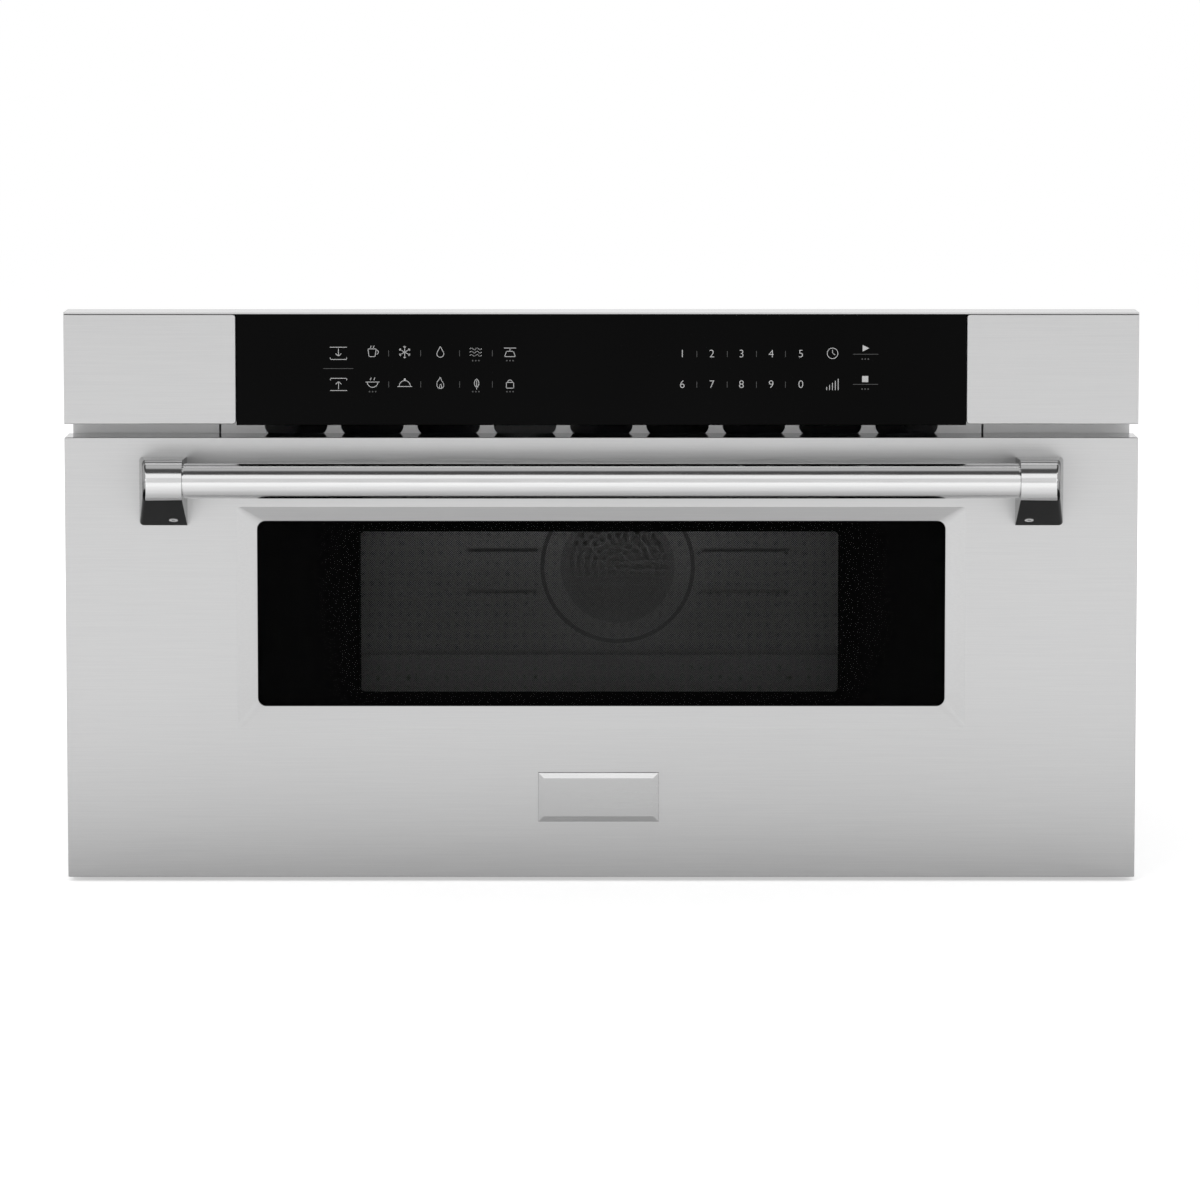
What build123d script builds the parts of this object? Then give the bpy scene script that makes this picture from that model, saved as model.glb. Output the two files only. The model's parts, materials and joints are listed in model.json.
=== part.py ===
from build123d import *

import os
from math import acos, atan2, cos, hypot, pi, radians, sin, sqrt, tan

os.makedirs("parts", exist_ok=True)

# A built-in microwave drawer, in millimetres. X is the width, +Y goes to the rear and +Z is up.
# The origin is the middle of the chassis base's underside.

# ---- Driving dimensions ------------------------------------------------------------------------
# Front, as seen
front_width = 762.0
front_overlap = 35.5
front_gap = 9.5
control_height = 79.5
drawer_bottom = 3.0
front_thickness = 33.5
seal_gap = 2.0
front_edge_radius = 0.7

# Chassis box that goes into the cabinet
front_overhang = 27.0
works_headroom = 8.0
works_depth = 147.3
sheet = 1.5
lip_height = 12.0
flange_inset = 3.0
flange_corner = 3.0
side_vent_inset = 77.5
side_vent_drop = 121.0
side_vent_pitch_y = 50.0
side_vent_pitch_z = 12.0
side_vent_columns = 2
side_vent_rows = 8
side_vent_length = 40.0
side_vent_height = 4.0
bead_width = 16.0
bead_height = 1.6
bead_taper = 45.0
top_bead_count = 4
top_bead_pitch = 150.0
top_bead_length = 420.0
side_bead_inset = 52.0
side_bead_length = 440.0
back_bead_count = 5
back_bead_pitch = 40.0
back_bead_length = 240.0
back_bead_gap = 60.0
back_vent_rows = 9
back_vent_pitch = 11.0
back_vent_height = 6.0
back_vent_margin = 2.0

# Tub that holds the food, and the fixed cavity around it
tub_width = 438.0
tub_height = 183.0
tub_depth = 414.0
tub_floor = 100.0
tub_wall = 1.2
tub_corner_radius = 10.0
tub_rim = 8.0
tub_flange = 11.0
cavity_side_clearance = 12.0
cavity_floor_clearance = 6.0
cavity_top_clearance = 10.0
cavity_rear_clearance = 8.0

# Window
window_width = 490.0
window_height = 133.0
window_drop = 126.5
window_corner = 6.0
bevel_side = 14.2
bevel_top = 10.5
bevel_bottom = 15.5
bevel_depth = 5.0
bevel_corner = 2.5
panel_sheet = 1.2
glass_thickness = 4.0
glass_margin = 8.0
see_through_width = 340.0
see_through_height = 115.0
screen_margin = 8.0
screen_thickness = 0.8

# Handle
bar_radius = 12.4
bar_drop = 26.6
bar_standoff = 43.5
bracket_inner = 294.0
bracket_width = 34.0
bracket_front_width = 27.0
bracket_boss_radius = 15.0
bracket_top_drop = 13.7
bracket_base_height = 48.7
bracket_base_depth = 2.0
bracket_round = 3.0
bar_socket = 12.0
bar_spigot_radius = 11.0
bar_neck = 1.2
set_screw_radius = 3.2
set_screw_length = 5.0
set_screw_proud = 0.4
set_screw_hex_radius = 1.3
set_screw_inset = 12.0
set_screw_edge = 9.0
handle_screw_radius = 2.5
handle_screw_length = 9.0
handle_screw_pitch = 20.0
screw_head_radius = 4.5
screw_head_height = 3.0

# Badge plate, left bare
badge_width = 86.0
badge_height = 35.4
badge_bevel = 4.0
badge_edge = 1.0
badge_thickness = 1.8
badge_round = 0.4
badge_x = -2.0
badge_centre_z = 60.8

# Control panel
glass_width = 518.6
cap_proud = 3.0
cap_corner_radius = 2.2
cap_return = 5.0
control_glass_thickness = 3.0
glass_drop = 1.0
top_strip_thickness = 1.2
joint_line = 0.3
housing_wall = 2.0
board_width = 420.0
board_height = 56.0
board_thickness = 1.6
display_width = 100.0
display_height = 30.0
display_thickness = 4.5
post_radius = 3.0

# Vent strip above the drawer
louver_margin = 26.2
louver_end_slit = 1.6
louver_underlap = 6.5
louver_overlap = 12.0
vent_pitch = 54.6
vent_count = 9
vent_length = 44.8
vent_height = 13.0
vent_drop = 4.2

# Telescopic rails
rail_end_gap = 1.7
rail_height = 45.7
rail_rise = 50.0
rail_sheet = 1.5
middle_sheet = 1.2
rail_clearance = 0.4
rail_depth = 12.5
rail_stagger = 1.0
rail_tab_width = 21.0
rail_bracket_height = 30.0
rail_outset = 16.3
travel_reserve = 34.0

# Choke channel around the cavity mouth
choke_width = 14.0
choke_depth = 11.0
choke_inset = 1.0
choke_clearance = 0.2

# Drive: a rack on the drawer, a compound gear and the motor's gear
rack_module = 2.0
pinion_teeth = 16
rack_addendum = 0.9
rack_width = 12.0
rack_back = 10.0
rack_drop = 30.8
pinion_reach = 41.0
gear_module = 1.0
gear_teeth = 36
motor_gear_teeth = 18
gear_width = 6.0
gear_side_gap = 3.0
pressure_angle = radians(20)
backlash = 0.16
root_clearance = 0.25
drive_shaft_radius = 4.0
motor_shaft_radius = 3.0
running_clearance = 0.05
bracket_sheet = 2.0
motor_radius = 19.0
motor_length = 52.0

# Microwave feed
feed_x = -60.0
stirrer_reach = 160.2
stirrer_radius = 72.0
stirrer_can_radius = 90.0
stirrer_can_height = 26.0
stirrer_hole_radius = 82.0
stirrer_shaft_radius = 3.0
stirrer_motor_radius = 25.0
stirrer_motor_height = 15.0
stirrer_ear_span = 66.0
stirrer_ear_width = 12.0
stirrer_flange = 2.0
stirrer_cover_thickness = 1.0
waveguide_width = 90.0
waveguide_height = 38.0
waveguide_overrun = 40.0
magnetron_gap = 10.3
magnetron_width = 84.0
magnetron_depth = 66.0
magnetron_height = 96.0
antenna_radius = 8.0
antenna_length = 20.0

# Cooling fan at the rear
fan_z = 205.0
fan_radius = 54.0
fan_ring_radius = 59.0
fan_ring_wall = 2.0
fan_ring_depth = 26.0
fan_hub_radius = 14.0
fan_shaft_radius = 2.5
fan_motor_radius = 22.0
fan_motor_length = 30.0
fan_blades = 5

# Fasteners and holes
mount_hole_radius = 2.25
mount_inset_x = 11.0
mount_inset_low = 53.5
mount_inset_high = 53.5
screw_inset_z = 8.0
screw_inset_x = 54.0
screw_inset_y = 47.5
chassis_screw_radius = 1.8
chassis_screw_head = 4.0
chassis_screw_height = 2.2
chassis_screw_length = 7.0
screw_hole_clearance = 0.05
cord_hole_radius = 9.0
cord_bore_radius = 4.6
cord_inset = 62.5
cord_z = 60.0

# Lamp beside the cavity
lamp_reach = 180.2
lamp_drop = 31.0

# Vents in the tub's rear wall
round_vent_x = 13.0
round_vent_rise = 74.0
round_vent_radius = 61.0
round_vent_border = 3.0
round_vent_proud = 1.5
vent_hole_radius = 2.0
vent_hole_pitch = 6.2
vent_ring_count = 6
vent_panel_left = -106.0
vent_panel_right = 149.0
vent_panel_rise = 33.0
vent_panel_height = 82.0
vent_panel_corner = 4.0
vent_panel_proud = 0.8
left_slot_length = 56.0
right_slot_length = 70.0
side_slot_height = 3.0
side_slot_pitch = 33.0
side_slot_rise = 70.5

# Electrics on the base
transformer_left = 100.0
transformer_length = 100.0
transformer_inset = 42.5
transformer_depth = 80.0
transformer_height = 92.0
transformer_stack = 34.0
capacitor_x = 30.0
capacitor_inset = 87.5
capacitor_height = 88.0
board_inset_x = 32.5
power_board_width = 170.0
board_inset_y = 22.5
power_board_depth = 100.0
board_post_height = 12.0

# ---- Places worked out from them ---------------------------------------------------------------
half_front = front_width / 2
chassis_width = front_width - 2 * front_overhang
half_chassis = chassis_width / 2
flange_width = front_width - 2 * flange_inset
mount_spacing_x = flange_width - 2 * mount_inset_x
tub_rim_z = tub_floor + tub_height
cavity_low = tub_floor - tub_wall - cavity_floor_clearance
cavity_high = tub_rim_z + cavity_top_clearance
ceiling_top = cavity_high + sheet
chassis_height = ceiling_top + waveguide_height + stirrer_motor_height + works_headroom + sheet
mount_spacing_z = chassis_height - mount_inset_low - mount_inset_high
cavity_depth = tub_depth + tub_wall + tub_rim + cavity_rear_clearance - seal_gap - sheet
chassis_depth = cavity_depth + works_depth
chassis_front = -chassis_depth / 2
chassis_rear = chassis_depth / 2
plate_front = chassis_front - sheet
louver_front = plate_front - sheet
drawer_rear = plate_front - seal_gap
front_face = drawer_rear - front_thickness
drawer_top = tub_rim_z + front_overlap
drawer_front_height = drawer_top - drawer_bottom
control_bottom = drawer_top + front_gap
control_top = control_bottom + control_height
louver_width = vent_count * vent_pitch + 2 * louver_margin
louver_bottom = drawer_top - louver_underlap
louver_top = control_bottom + louver_overlap
vent_centre_z = control_bottom - vent_drop
window_centre_z = drawer_top - window_drop
inner_side = half_chassis - sheet
inner_top = chassis_height - sheet
cord_x = inner_side - cord_inset

tub_half = tub_width / 2
tub_rear = drawer_rear + tub_depth
cavity_half = tub_half + tub_wall + cavity_side_clearance
cavity_rear = chassis_front + cavity_depth
cavity_mid_z = (cavity_low + cavity_high) / 2
cavity_outer = cavity_half + sheet
lamp_y = cavity_rear - lamp_reach
stirrer_y = cavity_rear - stirrer_reach
lamp_z = cavity_high - lamp_drop

bar_z = drawer_top - bar_drop
bar_y = front_face - bar_standoff
rail_web = cavity_outer + rail_outset
rail_centre_z = tub_floor + rail_rise
rail_front = chassis_front + rail_stagger
rail_length = cavity_rear - rail_end_gap - rail_front
rail_span = (rail_front, rail_front + rail_length)
drawer_travel = tub_depth - travel_reserve
pinion_radius = rack_module * pinion_teeth / 2
gear_radius = gear_module * gear_teeth / 2
motor_gear_radius = gear_module * motor_gear_teeth / 2
rack_pitch_z = cavity_low - rack_drop
pinion_y = drawer_rear + pinion_reach
pinion_z = rack_pitch_z - pinion_radius
motor_gear_y = pinion_y + gear_radius + motor_gear_radius
rack_root_z = rack_pitch_z + rack_module * (1 + root_clearance)
rack_back_z = rack_root_z + rack_back
rack_end = pinion_y + drawer_travel + 3 * rack_module
glass_front = front_face + cap_proud
housing_front = glass_front + control_glass_thickness
housing_top = control_top - top_strip_thickness - joint_line
sides = (("left", -1), ("right", 1))


def block(x_range, y_range, z_range, mode=Mode.ADD):
    """Add or cut a straight block between two limits on each axis."""
    x0, x1 = sorted(x_range)
    y0, y1 = sorted(y_range)
    z0, z1 = sorted(z_range)
    with Locations(((x0 + x1) / 2, (y0 + y1) / 2, (z0 + z1) / 2)):
        Box(x1 - x0, y1 - y0, z1 - z0, mode=mode)


def facing_front(y):
    """The upright plane at y, its normal towards the user."""
    return Plane.XZ.offset(-y)


def facing_rear(y):
    """The upright plane at y, its normal towards the wall behind, with X mirrored."""
    return Plane(origin=(0, y, 0), x_dir=(-1, 0, 0), z_dir=(0, 1, 0))


def press_beads(plane, places, length, turn=0):
    """Press long raised beads out of a sheet whose outer face lies in the plane."""
    for depth, mode in ((0, Mode.ADD), (sheet, Mode.SUBTRACT)):
        with BuildSketch(plane.offset(-depth)) as bead_outline:
            with Locations(*places):
                SlotOverall(length, bead_width, rotation=turn)
        extrude(bead_outline.sketch, amount=bead_height, taper=bead_taper, mode=mode)


# ---- Chassis sheets ----------------------------------------------------------------------------
screw_rows = (screw_inset_z, chassis_height - screw_inset_z)
side_screw_reach = chassis_rear - screw_inset_y
back_screw_reach = half_chassis - screw_inset_x
side_screw_places = [(turn * side_screw_reach, z) for turn in (-1, 0, 1) for z in screw_rows]
back_screw_places = [(turn * back_screw_reach, z) for turn in (-1, 0, 1) for z in screw_rows]

with BuildPart() as base_pan:
    block((-half_chassis, half_chassis), (chassis_front, chassis_rear), (0, sheet))
    for sign in (-1, 1):
        lip_x = (sign * (inner_side - sheet), sign * inner_side)
        block(lip_x, (chassis_front, chassis_rear - sheet), (sheet, sheet + lip_height))
    block(
        (-inner_side + sheet, inner_side - sheet),
        (chassis_rear - 2 * sheet, chassis_rear - sheet),
        (sheet, sheet + lip_height),
    )
    for y, z in side_screw_places[::2]:
        with BuildSketch(Plane.YZ.offset(-half_chassis)) as holes:
            with Locations((y, z)):
                Circle(chassis_screw_radius + screw_hole_clearance)
        extrude(amount=chassis_width, mode=Mode.SUBTRACT)
    for x, z in back_screw_places[::2]:
        with BuildSketch(facing_front(chassis_rear)) as holes:
            with Locations((x, z)):
                Circle(chassis_screw_radius + screw_hole_clearance)
        extrude(amount=4 * sheet, mode=Mode.SUBTRACT)
base_pan.part.label = "base_pan"
export_step(base_pan.part, "parts/base_pan.step")

with BuildPart() as top_cover:
    block((-half_chassis, half_chassis), (chassis_front, chassis_rear), (inner_top, chassis_height))
    for sign in (-1, 1):
        lip_x = (sign * (inner_side - sheet), sign * inner_side)
        block(lip_x, (chassis_front, chassis_rear - sheet), (inner_top - lip_height, inner_top))
    block(
        (-inner_side + sheet, inner_side - sheet),
        (chassis_rear - 2 * sheet, chassis_rear - sheet),
        (inner_top - lip_height, inner_top),
    )
    for y, z in side_screw_places[1::2]:
        with BuildSketch(Plane.YZ.offset(-half_chassis)) as holes:
            with Locations((y, z)):
                Circle(chassis_screw_radius + screw_hole_clearance)
        extrude(amount=chassis_width, mode=Mode.SUBTRACT)
    for x, z in back_screw_places[1::2]:
        with BuildSketch(facing_front(chassis_rear)) as holes:
            with Locations((x, z)):
                Circle(chassis_screw_radius + screw_hole_clearance)
        extrude(amount=4 * sheet, mode=Mode.SUBTRACT)
    top_bead_middle = (top_bead_count - 1) / 2
    top_bead_places = [((i - top_bead_middle) * top_bead_pitch, 0) for i in range(top_bead_count)]
    press_beads(Plane.XY.offset(chassis_height), top_bead_places, top_bead_length, 90)
top_cover.part.label = "top_cover"
export_step(top_cover.part, "parts/top_cover.step")

for side, sign in sides:
    with BuildPart() as side_panel:
        with BuildSketch(Plane.YZ.offset(sign * inner_side)) as side_outline:
            with Locations((0, chassis_height / 2)):
                Rectangle(chassis_depth, chassis_height - 2 * sheet)
            with Locations(*side_screw_places):
                Circle(chassis_screw_radius + screw_hole_clearance, mode=Mode.SUBTRACT)
            with Locations((chassis_rear - side_vent_inset, chassis_height - side_vent_drop)):
                with GridLocations(
                    side_vent_pitch_y, side_vent_pitch_z, side_vent_columns, side_vent_rows
                ):
                    SlotOverall(side_vent_length, side_vent_height, mode=Mode.SUBTRACT)
        extrude(amount=sign * sheet)
        side_face = Plane(origin=(sign * half_chassis, 0, 0), x_dir=(0, 1, 0), z_dir=(sign, 0, 0))
        side_bead_rows = (side_bead_inset, chassis_height - side_bead_inset)
        press_beads(side_face, [(0, sign * z) for z in side_bead_rows], side_bead_length)
    side_panel.part.label = f"side_panel_{side}"
    export_step(side_panel.part, f"parts/side_panel_{side}.step")

with BuildPart() as back_panel:
    with BuildSketch(facing_front(chassis_rear)) as back_outline:
        with Locations((0, chassis_height / 2)):
            Rectangle(2 * inner_side, chassis_height - 2 * sheet)
        with Locations(*back_screw_places):
            Circle(chassis_screw_radius + screw_hole_clearance, mode=Mode.SUBTRACT)
        with Locations((cord_x, cord_z)):
            Circle(cord_hole_radius, mode=Mode.SUBTRACT)
        with Locations((feed_x, fan_z)):
            for row in range(back_vent_rows):
                row_z = (row - (back_vent_rows - 1) / 2) * back_vent_pitch
                slot_length = 2 * sqrt((fan_radius - back_vent_margin) ** 2 - row_z**2)
                with Locations((0, row_z)):
                    SlotOverall(slot_length, back_vent_height, mode=Mode.SUBTRACT)
    extrude(amount=sheet)
    back_bead_x = (back_bead_length + back_bead_gap) / 2
    back_bead_middle = (back_bead_count - 1) / 2
    back_bead_places = [
        (-back_bead_x, chassis_height / 2 + (i - back_bead_middle) * back_bead_pitch)
        for i in range(back_bead_count)
    ]
    press_beads(facing_rear(chassis_rear), back_bead_places, back_bead_length)
back_panel.part.label = "back_panel"
export_step(back_panel.part, "parts/back_panel.step")

# ---- Front plate, vent strip and cavity --------------------------------------------------------
rail_slot_x = rail_web + rail_depth / 2 + 1.5
rail_slot_width = rail_depth + 6.0
latch_x = rail_web + 40.0
latch_z = 230.0
latch_plate = 2.0
latch_height = 18.0
latch_length = 33.0
slot_margin = 3.0

with BuildPart() as face_plate:
    with BuildSketch(facing_front(plate_front)) as plate_outline:
        with Locations((0, chassis_height / 2)):
            RectangleRounded(flange_width, chassis_height, flange_corner)
        with Locations((0, cavity_mid_z)):
            RectangleRounded(2 * cavity_half, cavity_high - cavity_low, 6, mode=Mode.SUBTRACT)
        with Locations((0, mount_inset_low + mount_spacing_z / 2)):
            with GridLocations(mount_spacing_x, mount_spacing_z, 2, 2):
                Circle(mount_hole_radius, mode=Mode.SUBTRACT)
        with Locations((-rail_slot_x, rail_centre_z), (rail_slot_x, rail_centre_z)):
            Rectangle(rail_slot_width, rail_height + slot_margin, mode=Mode.SUBTRACT)
        with Locations((-latch_x, latch_z), (latch_x, latch_z)):
            Rectangle(latch_plate + 2 * slot_margin, latch_height + 2 * slot_margin, mode=Mode.SUBTRACT)
        with Locations((0, (rack_pitch_z + rack_back_z) / 2)):
            Rectangle(
                rack_width + 2 * slot_margin,
                rack_back_z - rack_pitch_z + 4 * slot_margin,
                mode=Mode.SUBTRACT,
            )
        with Locations((0, vent_centre_z)):
            with GridLocations(vent_pitch, 1, vent_count, 1):
                Rectangle(vent_length + 2, vent_height + 2, mode=Mode.SUBTRACT)
        slit_x = (louver_width + louver_end_slit) / 2
        with Locations((-slit_x, vent_centre_z), (slit_x, vent_centre_z)):
            Rectangle(louver_end_slit, vent_height, mode=Mode.SUBTRACT)
    extrude(amount=-sheet)
face_plate.part.label = "face_plate"
export_step(face_plate.part, "parts/face_plate.step")

with BuildPart() as vent_louver:
    with BuildSketch(facing_front(louver_front)) as louver_outline:
        with Locations((0, (louver_bottom + louver_top) / 2)):
            Rectangle(louver_width, louver_top - louver_bottom)
        with Locations((0, vent_centre_z)):
            with GridLocations(vent_pitch, 1, vent_count, 1):
                SlotOverall(vent_length, vent_height, mode=Mode.SUBTRACT)
    extrude(amount=-sheet)
vent_louver.part.label = "vent_louver"
export_step(vent_louver.part, "parts/vent_louver.step")

cavity_length = (chassis_front, cavity_rear)

with BuildPart() as cavity_floor:
    block((-cavity_half, cavity_half), cavity_length, (cavity_low - sheet, cavity_low))
cavity_floor.part.label = "cavity_floor"
export_step(cavity_floor.part, "parts/cavity_floor.step")

with BuildPart() as cavity_ceiling:
    block((-cavity_outer, cavity_outer), cavity_length, (cavity_high, ceiling_top))
    with Locations((feed_x, stirrer_y, ceiling_top)):
        Hole(stirrer_hole_radius, 2 * sheet)
cavity_ceiling.part.label = "cavity_ceiling"
export_step(cavity_ceiling.part, "parts/cavity_ceiling.step")

for side, sign in sides:
    with BuildPart() as cavity_side:
        with BuildSketch(Plane.YZ.offset(sign * cavity_half)) as wall_outline:
            with Locations((sum(cavity_length) / 2, (cavity_low - sheet + cavity_high) / 2)):
                Rectangle(cavity_rear - chassis_front, cavity_high - cavity_low + sheet)
            if side == "right":
                with Locations((lamp_y, lamp_z)):
                    with GridLocations(5, 5, 5, 4):
                        Circle(1.5, mode=Mode.SUBTRACT)
        extrude(amount=sign * sheet)
    cavity_side.part.label = f"cavity_side_{side}"
    export_step(cavity_side.part, f"parts/cavity_side_{side}.step")

with BuildPart() as cavity_rear_wall:
    block(
        (-cavity_outer, cavity_outer),
        (cavity_rear, cavity_rear + sheet),
        (cavity_low - sheet, ceiling_top),
    )
cavity_rear_wall.part.label = "cavity_rear_wall"
export_step(cavity_rear_wall.part, "parts/cavity_rear_wall.step")

# ---- Microwave feed ----------------------------------------------------------------------------
magnetron_y = cavity_rear + sheet + magnetron_gap + magnetron_depth / 2
waveguide_end = magnetron_y + waveguide_overrun
waveguide_top = ceiling_top + waveguide_height
waveguide_start = stirrer_y - waveguide_width / 2
can_top = ceiling_top + stirrer_can_height

with BuildPart() as waveguide:
    block(
        (feed_x - waveguide_width / 2, feed_x + waveguide_width / 2),
        (waveguide_start, waveguide_end),
        (ceiling_top, waveguide_top),
    )
    with BuildSketch(Plane.XY.offset(ceiling_top)) as can_outline:
        with Locations((feed_x, stirrer_y)):
            Circle(stirrer_can_radius)
    extrude(amount=stirrer_can_height)
    block(
        (feed_x - waveguide_width / 2 + sheet, feed_x + waveguide_width / 2 - sheet),
        (waveguide_start + sheet, waveguide_end - sheet),
        (ceiling_top + sheet, waveguide_top - sheet),
        mode=Mode.SUBTRACT,
    )
    with BuildSketch(Plane.XY.offset(ceiling_top)) as can_hollow:
        with Locations((feed_x, stirrer_y)):
            Circle(stirrer_can_radius - sheet)
    extrude(amount=stirrer_can_height - sheet, mode=Mode.SUBTRACT)
    with Locations((feed_x, stirrer_y, waveguide_top)):
        Hole(stirrer_shaft_radius + running_clearance, 2 * sheet)
    with Locations((feed_x, magnetron_y, ceiling_top + sheet)):
        Hole(antenna_radius + 2, 2 * sheet)
waveguide.part.label = "waveguide"
export_step(waveguide.part, "parts/waveguide.step")

with BuildPart() as stirrer_cover:
    with BuildSketch(Plane.XY.offset(cavity_high - stirrer_cover_thickness)) as cover_outline:
        with Locations((feed_x, stirrer_y)):
            Circle(stirrer_can_radius)
    extrude(amount=stirrer_cover_thickness)
stirrer_cover.part.label = "stirrer_cover"
export_step(stirrer_cover.part, "parts/stirrer_cover.step")

stirrer_blade_z = ceiling_top + 8.0
stirrer_shaft_top = waveguide_top + stirrer_motor_height / 2
with BuildPart() as stirrer_blade:
    with BuildSketch(Plane.XY.offset(stirrer_blade_z)) as blade_outline:
        with Locations((feed_x, stirrer_y)):
            Circle(12)
            with PolarLocations(0, 4):
                with Locations((stirrer_radius / 2, 0)):
                    SlotOverall(stirrer_radius, 24)
    extrude(amount=1)
    with BuildSketch(Plane.XY.offset(stirrer_blade_z)) as stirrer_shaft:
        with Locations((feed_x, stirrer_y)):
            Circle(stirrer_shaft_radius)
    extrude(amount=stirrer_shaft_top - stirrer_blade_z)
    with BuildSketch(Plane.XY.offset(stirrer_blade_z)) as stirrer_hub:
        with Locations((feed_x, stirrer_y)):
            Circle(2.5 * stirrer_shaft_radius)
    extrude(amount=8)
stirrer_blade.part.label = "stirrer_blade"
export_step(stirrer_blade.part, "parts/stirrer_blade.step")

with BuildPart() as stirrer_motor:
    with BuildSketch(Plane.XY.offset(waveguide_top)) as stirrer_motor_outline:
        with Locations((feed_x, stirrer_y)):
            Circle(stirrer_motor_radius)
            SlotOverall(stirrer_ear_span + stirrer_ear_width / 2, stirrer_ear_width)
    extrude(amount=stirrer_flange)
    with BuildSketch(Plane.XY.offset(waveguide_top)) as stirrer_motor_can:
        with Locations((feed_x, stirrer_y)):
            Circle(stirrer_motor_radius)
    extrude(amount=stirrer_motor_height)
    with BuildSketch(Plane.XY.offset(waveguide_top)) as stirrer_motor_bore:
        with Locations((feed_x, stirrer_y)):
            Circle(stirrer_shaft_radius + running_clearance)
    extrude(amount=stirrer_motor_height / 2 + 1, mode=Mode.SUBTRACT)
stirrer_motor.part.label = "stirrer_motor"
export_step(stirrer_motor.part, "parts/stirrer_motor.step")

magnetron_top = ceiling_top
fin_count = 9
with BuildPart() as magnetron:
    magnetron_x = (feed_x - magnetron_width / 2, feed_x + magnetron_width / 2)
    magnetron_span = (magnetron_y - magnetron_depth / 2, magnetron_y + magnetron_depth / 2)
    block(magnetron_x, magnetron_span, (magnetron_top - magnetron_height, magnetron_top))
    block(
        (magnetron_x[0] + 2, magnetron_x[1] - 2),
        magnetron_span,
        (magnetron_top - magnetron_height + 2, magnetron_top - 2),
        mode=Mode.SUBTRACT,
    )
    fin_pitch = (magnetron_height - 4) / (fin_count + 1)
    for fin in range(1, fin_count + 1):
        fin_z = magnetron_top - magnetron_height + 2 + fin * fin_pitch
        block(magnetron_x, magnetron_span, (fin_z - 0.4, fin_z + 0.4))
    with BuildSketch(Plane.XY.offset(magnetron_top - magnetron_height)) as anode:
        with Locations((feed_x, magnetron_y)):
            Circle(20)
    extrude(amount=magnetron_height)
    with BuildSketch(Plane.XY.offset(magnetron_top)) as antenna:
        with Locations((feed_x, magnetron_y)):
            Circle(antenna_radius)
    extrude(amount=antenna_length)
    fillet(magnetron.faces().sort_by(Axis.Z)[-1].edges(), 3)
    block(
        (feed_x - 30, feed_x + 30),
        (magnetron_y - 24, magnetron_y + 24),
        (magnetron_top - magnetron_height - 28, magnetron_top - magnetron_height),
    )
magnetron.part.label = "magnetron"
export_step(magnetron.part, "parts/magnetron.step")

with BuildPart() as cavity_lamp:
    block((cavity_outer, cavity_outer + 3), (lamp_y - 24, lamp_y + 24), (lamp_z - 16, lamp_z + 16))
    with BuildSketch(Plane.YZ.offset(cavity_outer)) as lamp_socket:
        with Locations((lamp_y, lamp_z)):
            Circle(13)
    extrude(amount=36)
    with BuildSketch(Plane.YZ.offset(cavity_outer)) as lamp_bore:
        with Locations((lamp_y, lamp_z)):
            Circle(11)
    extrude(amount=24, mode=Mode.SUBTRACT)
    with BuildSketch(Plane.YZ.offset(cavity_outer + 4)) as lamp_bulb:
        with Locations((lamp_y, lamp_z)):
            Circle(7)
    extrude(amount=21)
cavity_lamp.part.label = "cavity_lamp"
export_step(cavity_lamp.part, "parts/cavity_lamp.step")

# ---- Cooling fan -------------------------------------------------------------------------------
fan_seat = chassis_rear - sheet
motor_seat = fan_seat - fan_ring_depth
with BuildPart() as fan_shroud:
    with BuildSketch(facing_front(fan_seat)) as fan_plate:
        with Locations((feed_x, fan_z)):
            RectangleRounded(2.3 * fan_ring_radius, 2.3 * fan_ring_radius, 8)
            Circle(fan_ring_radius, mode=Mode.SUBTRACT)
    extrude(amount=2)
    with BuildSketch(facing_front(fan_seat)) as fan_ring:
        with Locations((feed_x, fan_z)):
            Circle(fan_ring_radius + fan_ring_wall)
            Circle(fan_ring_radius, mode=Mode.SUBTRACT)
    extrude(amount=fan_ring_depth)
    with BuildSketch(facing_front(motor_seat)) as fan_arms:
        with Locations((feed_x, fan_z)):
            Circle(fan_motor_radius)
            with PolarLocations(0, 3, start_angle=90):
                with Locations((fan_ring_radius / 2, 0)):
                    Rectangle(fan_ring_radius + 1, 8)
            Circle(fan_shaft_radius + running_clearance, mode=Mode.SUBTRACT)
    extrude(amount=-2)
fan_shroud.part.label = "fan_shroud"
export_step(fan_shroud.part, "parts/fan_shroud.step")

with BuildPart() as fan_motor:
    with BuildSketch(facing_front(motor_seat)) as fan_motor_outline:
        with Locations((feed_x, fan_z)):
            Circle(fan_motor_radius)
    extrude(amount=fan_motor_length)
    fillet(fan_motor.faces().sort_by(Axis.Y)[0].edges(), 2)
    with BuildSketch(facing_front(motor_seat)) as fan_motor_bore:
        with Locations((feed_x, fan_z)):
            Circle(fan_shaft_radius + running_clearance)
    extrude(amount=fan_motor_length / 2, mode=Mode.SUBTRACT)
fan_motor.part.label = "fan_motor"
export_step(fan_motor.part, "parts/fan_motor.step")

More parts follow.
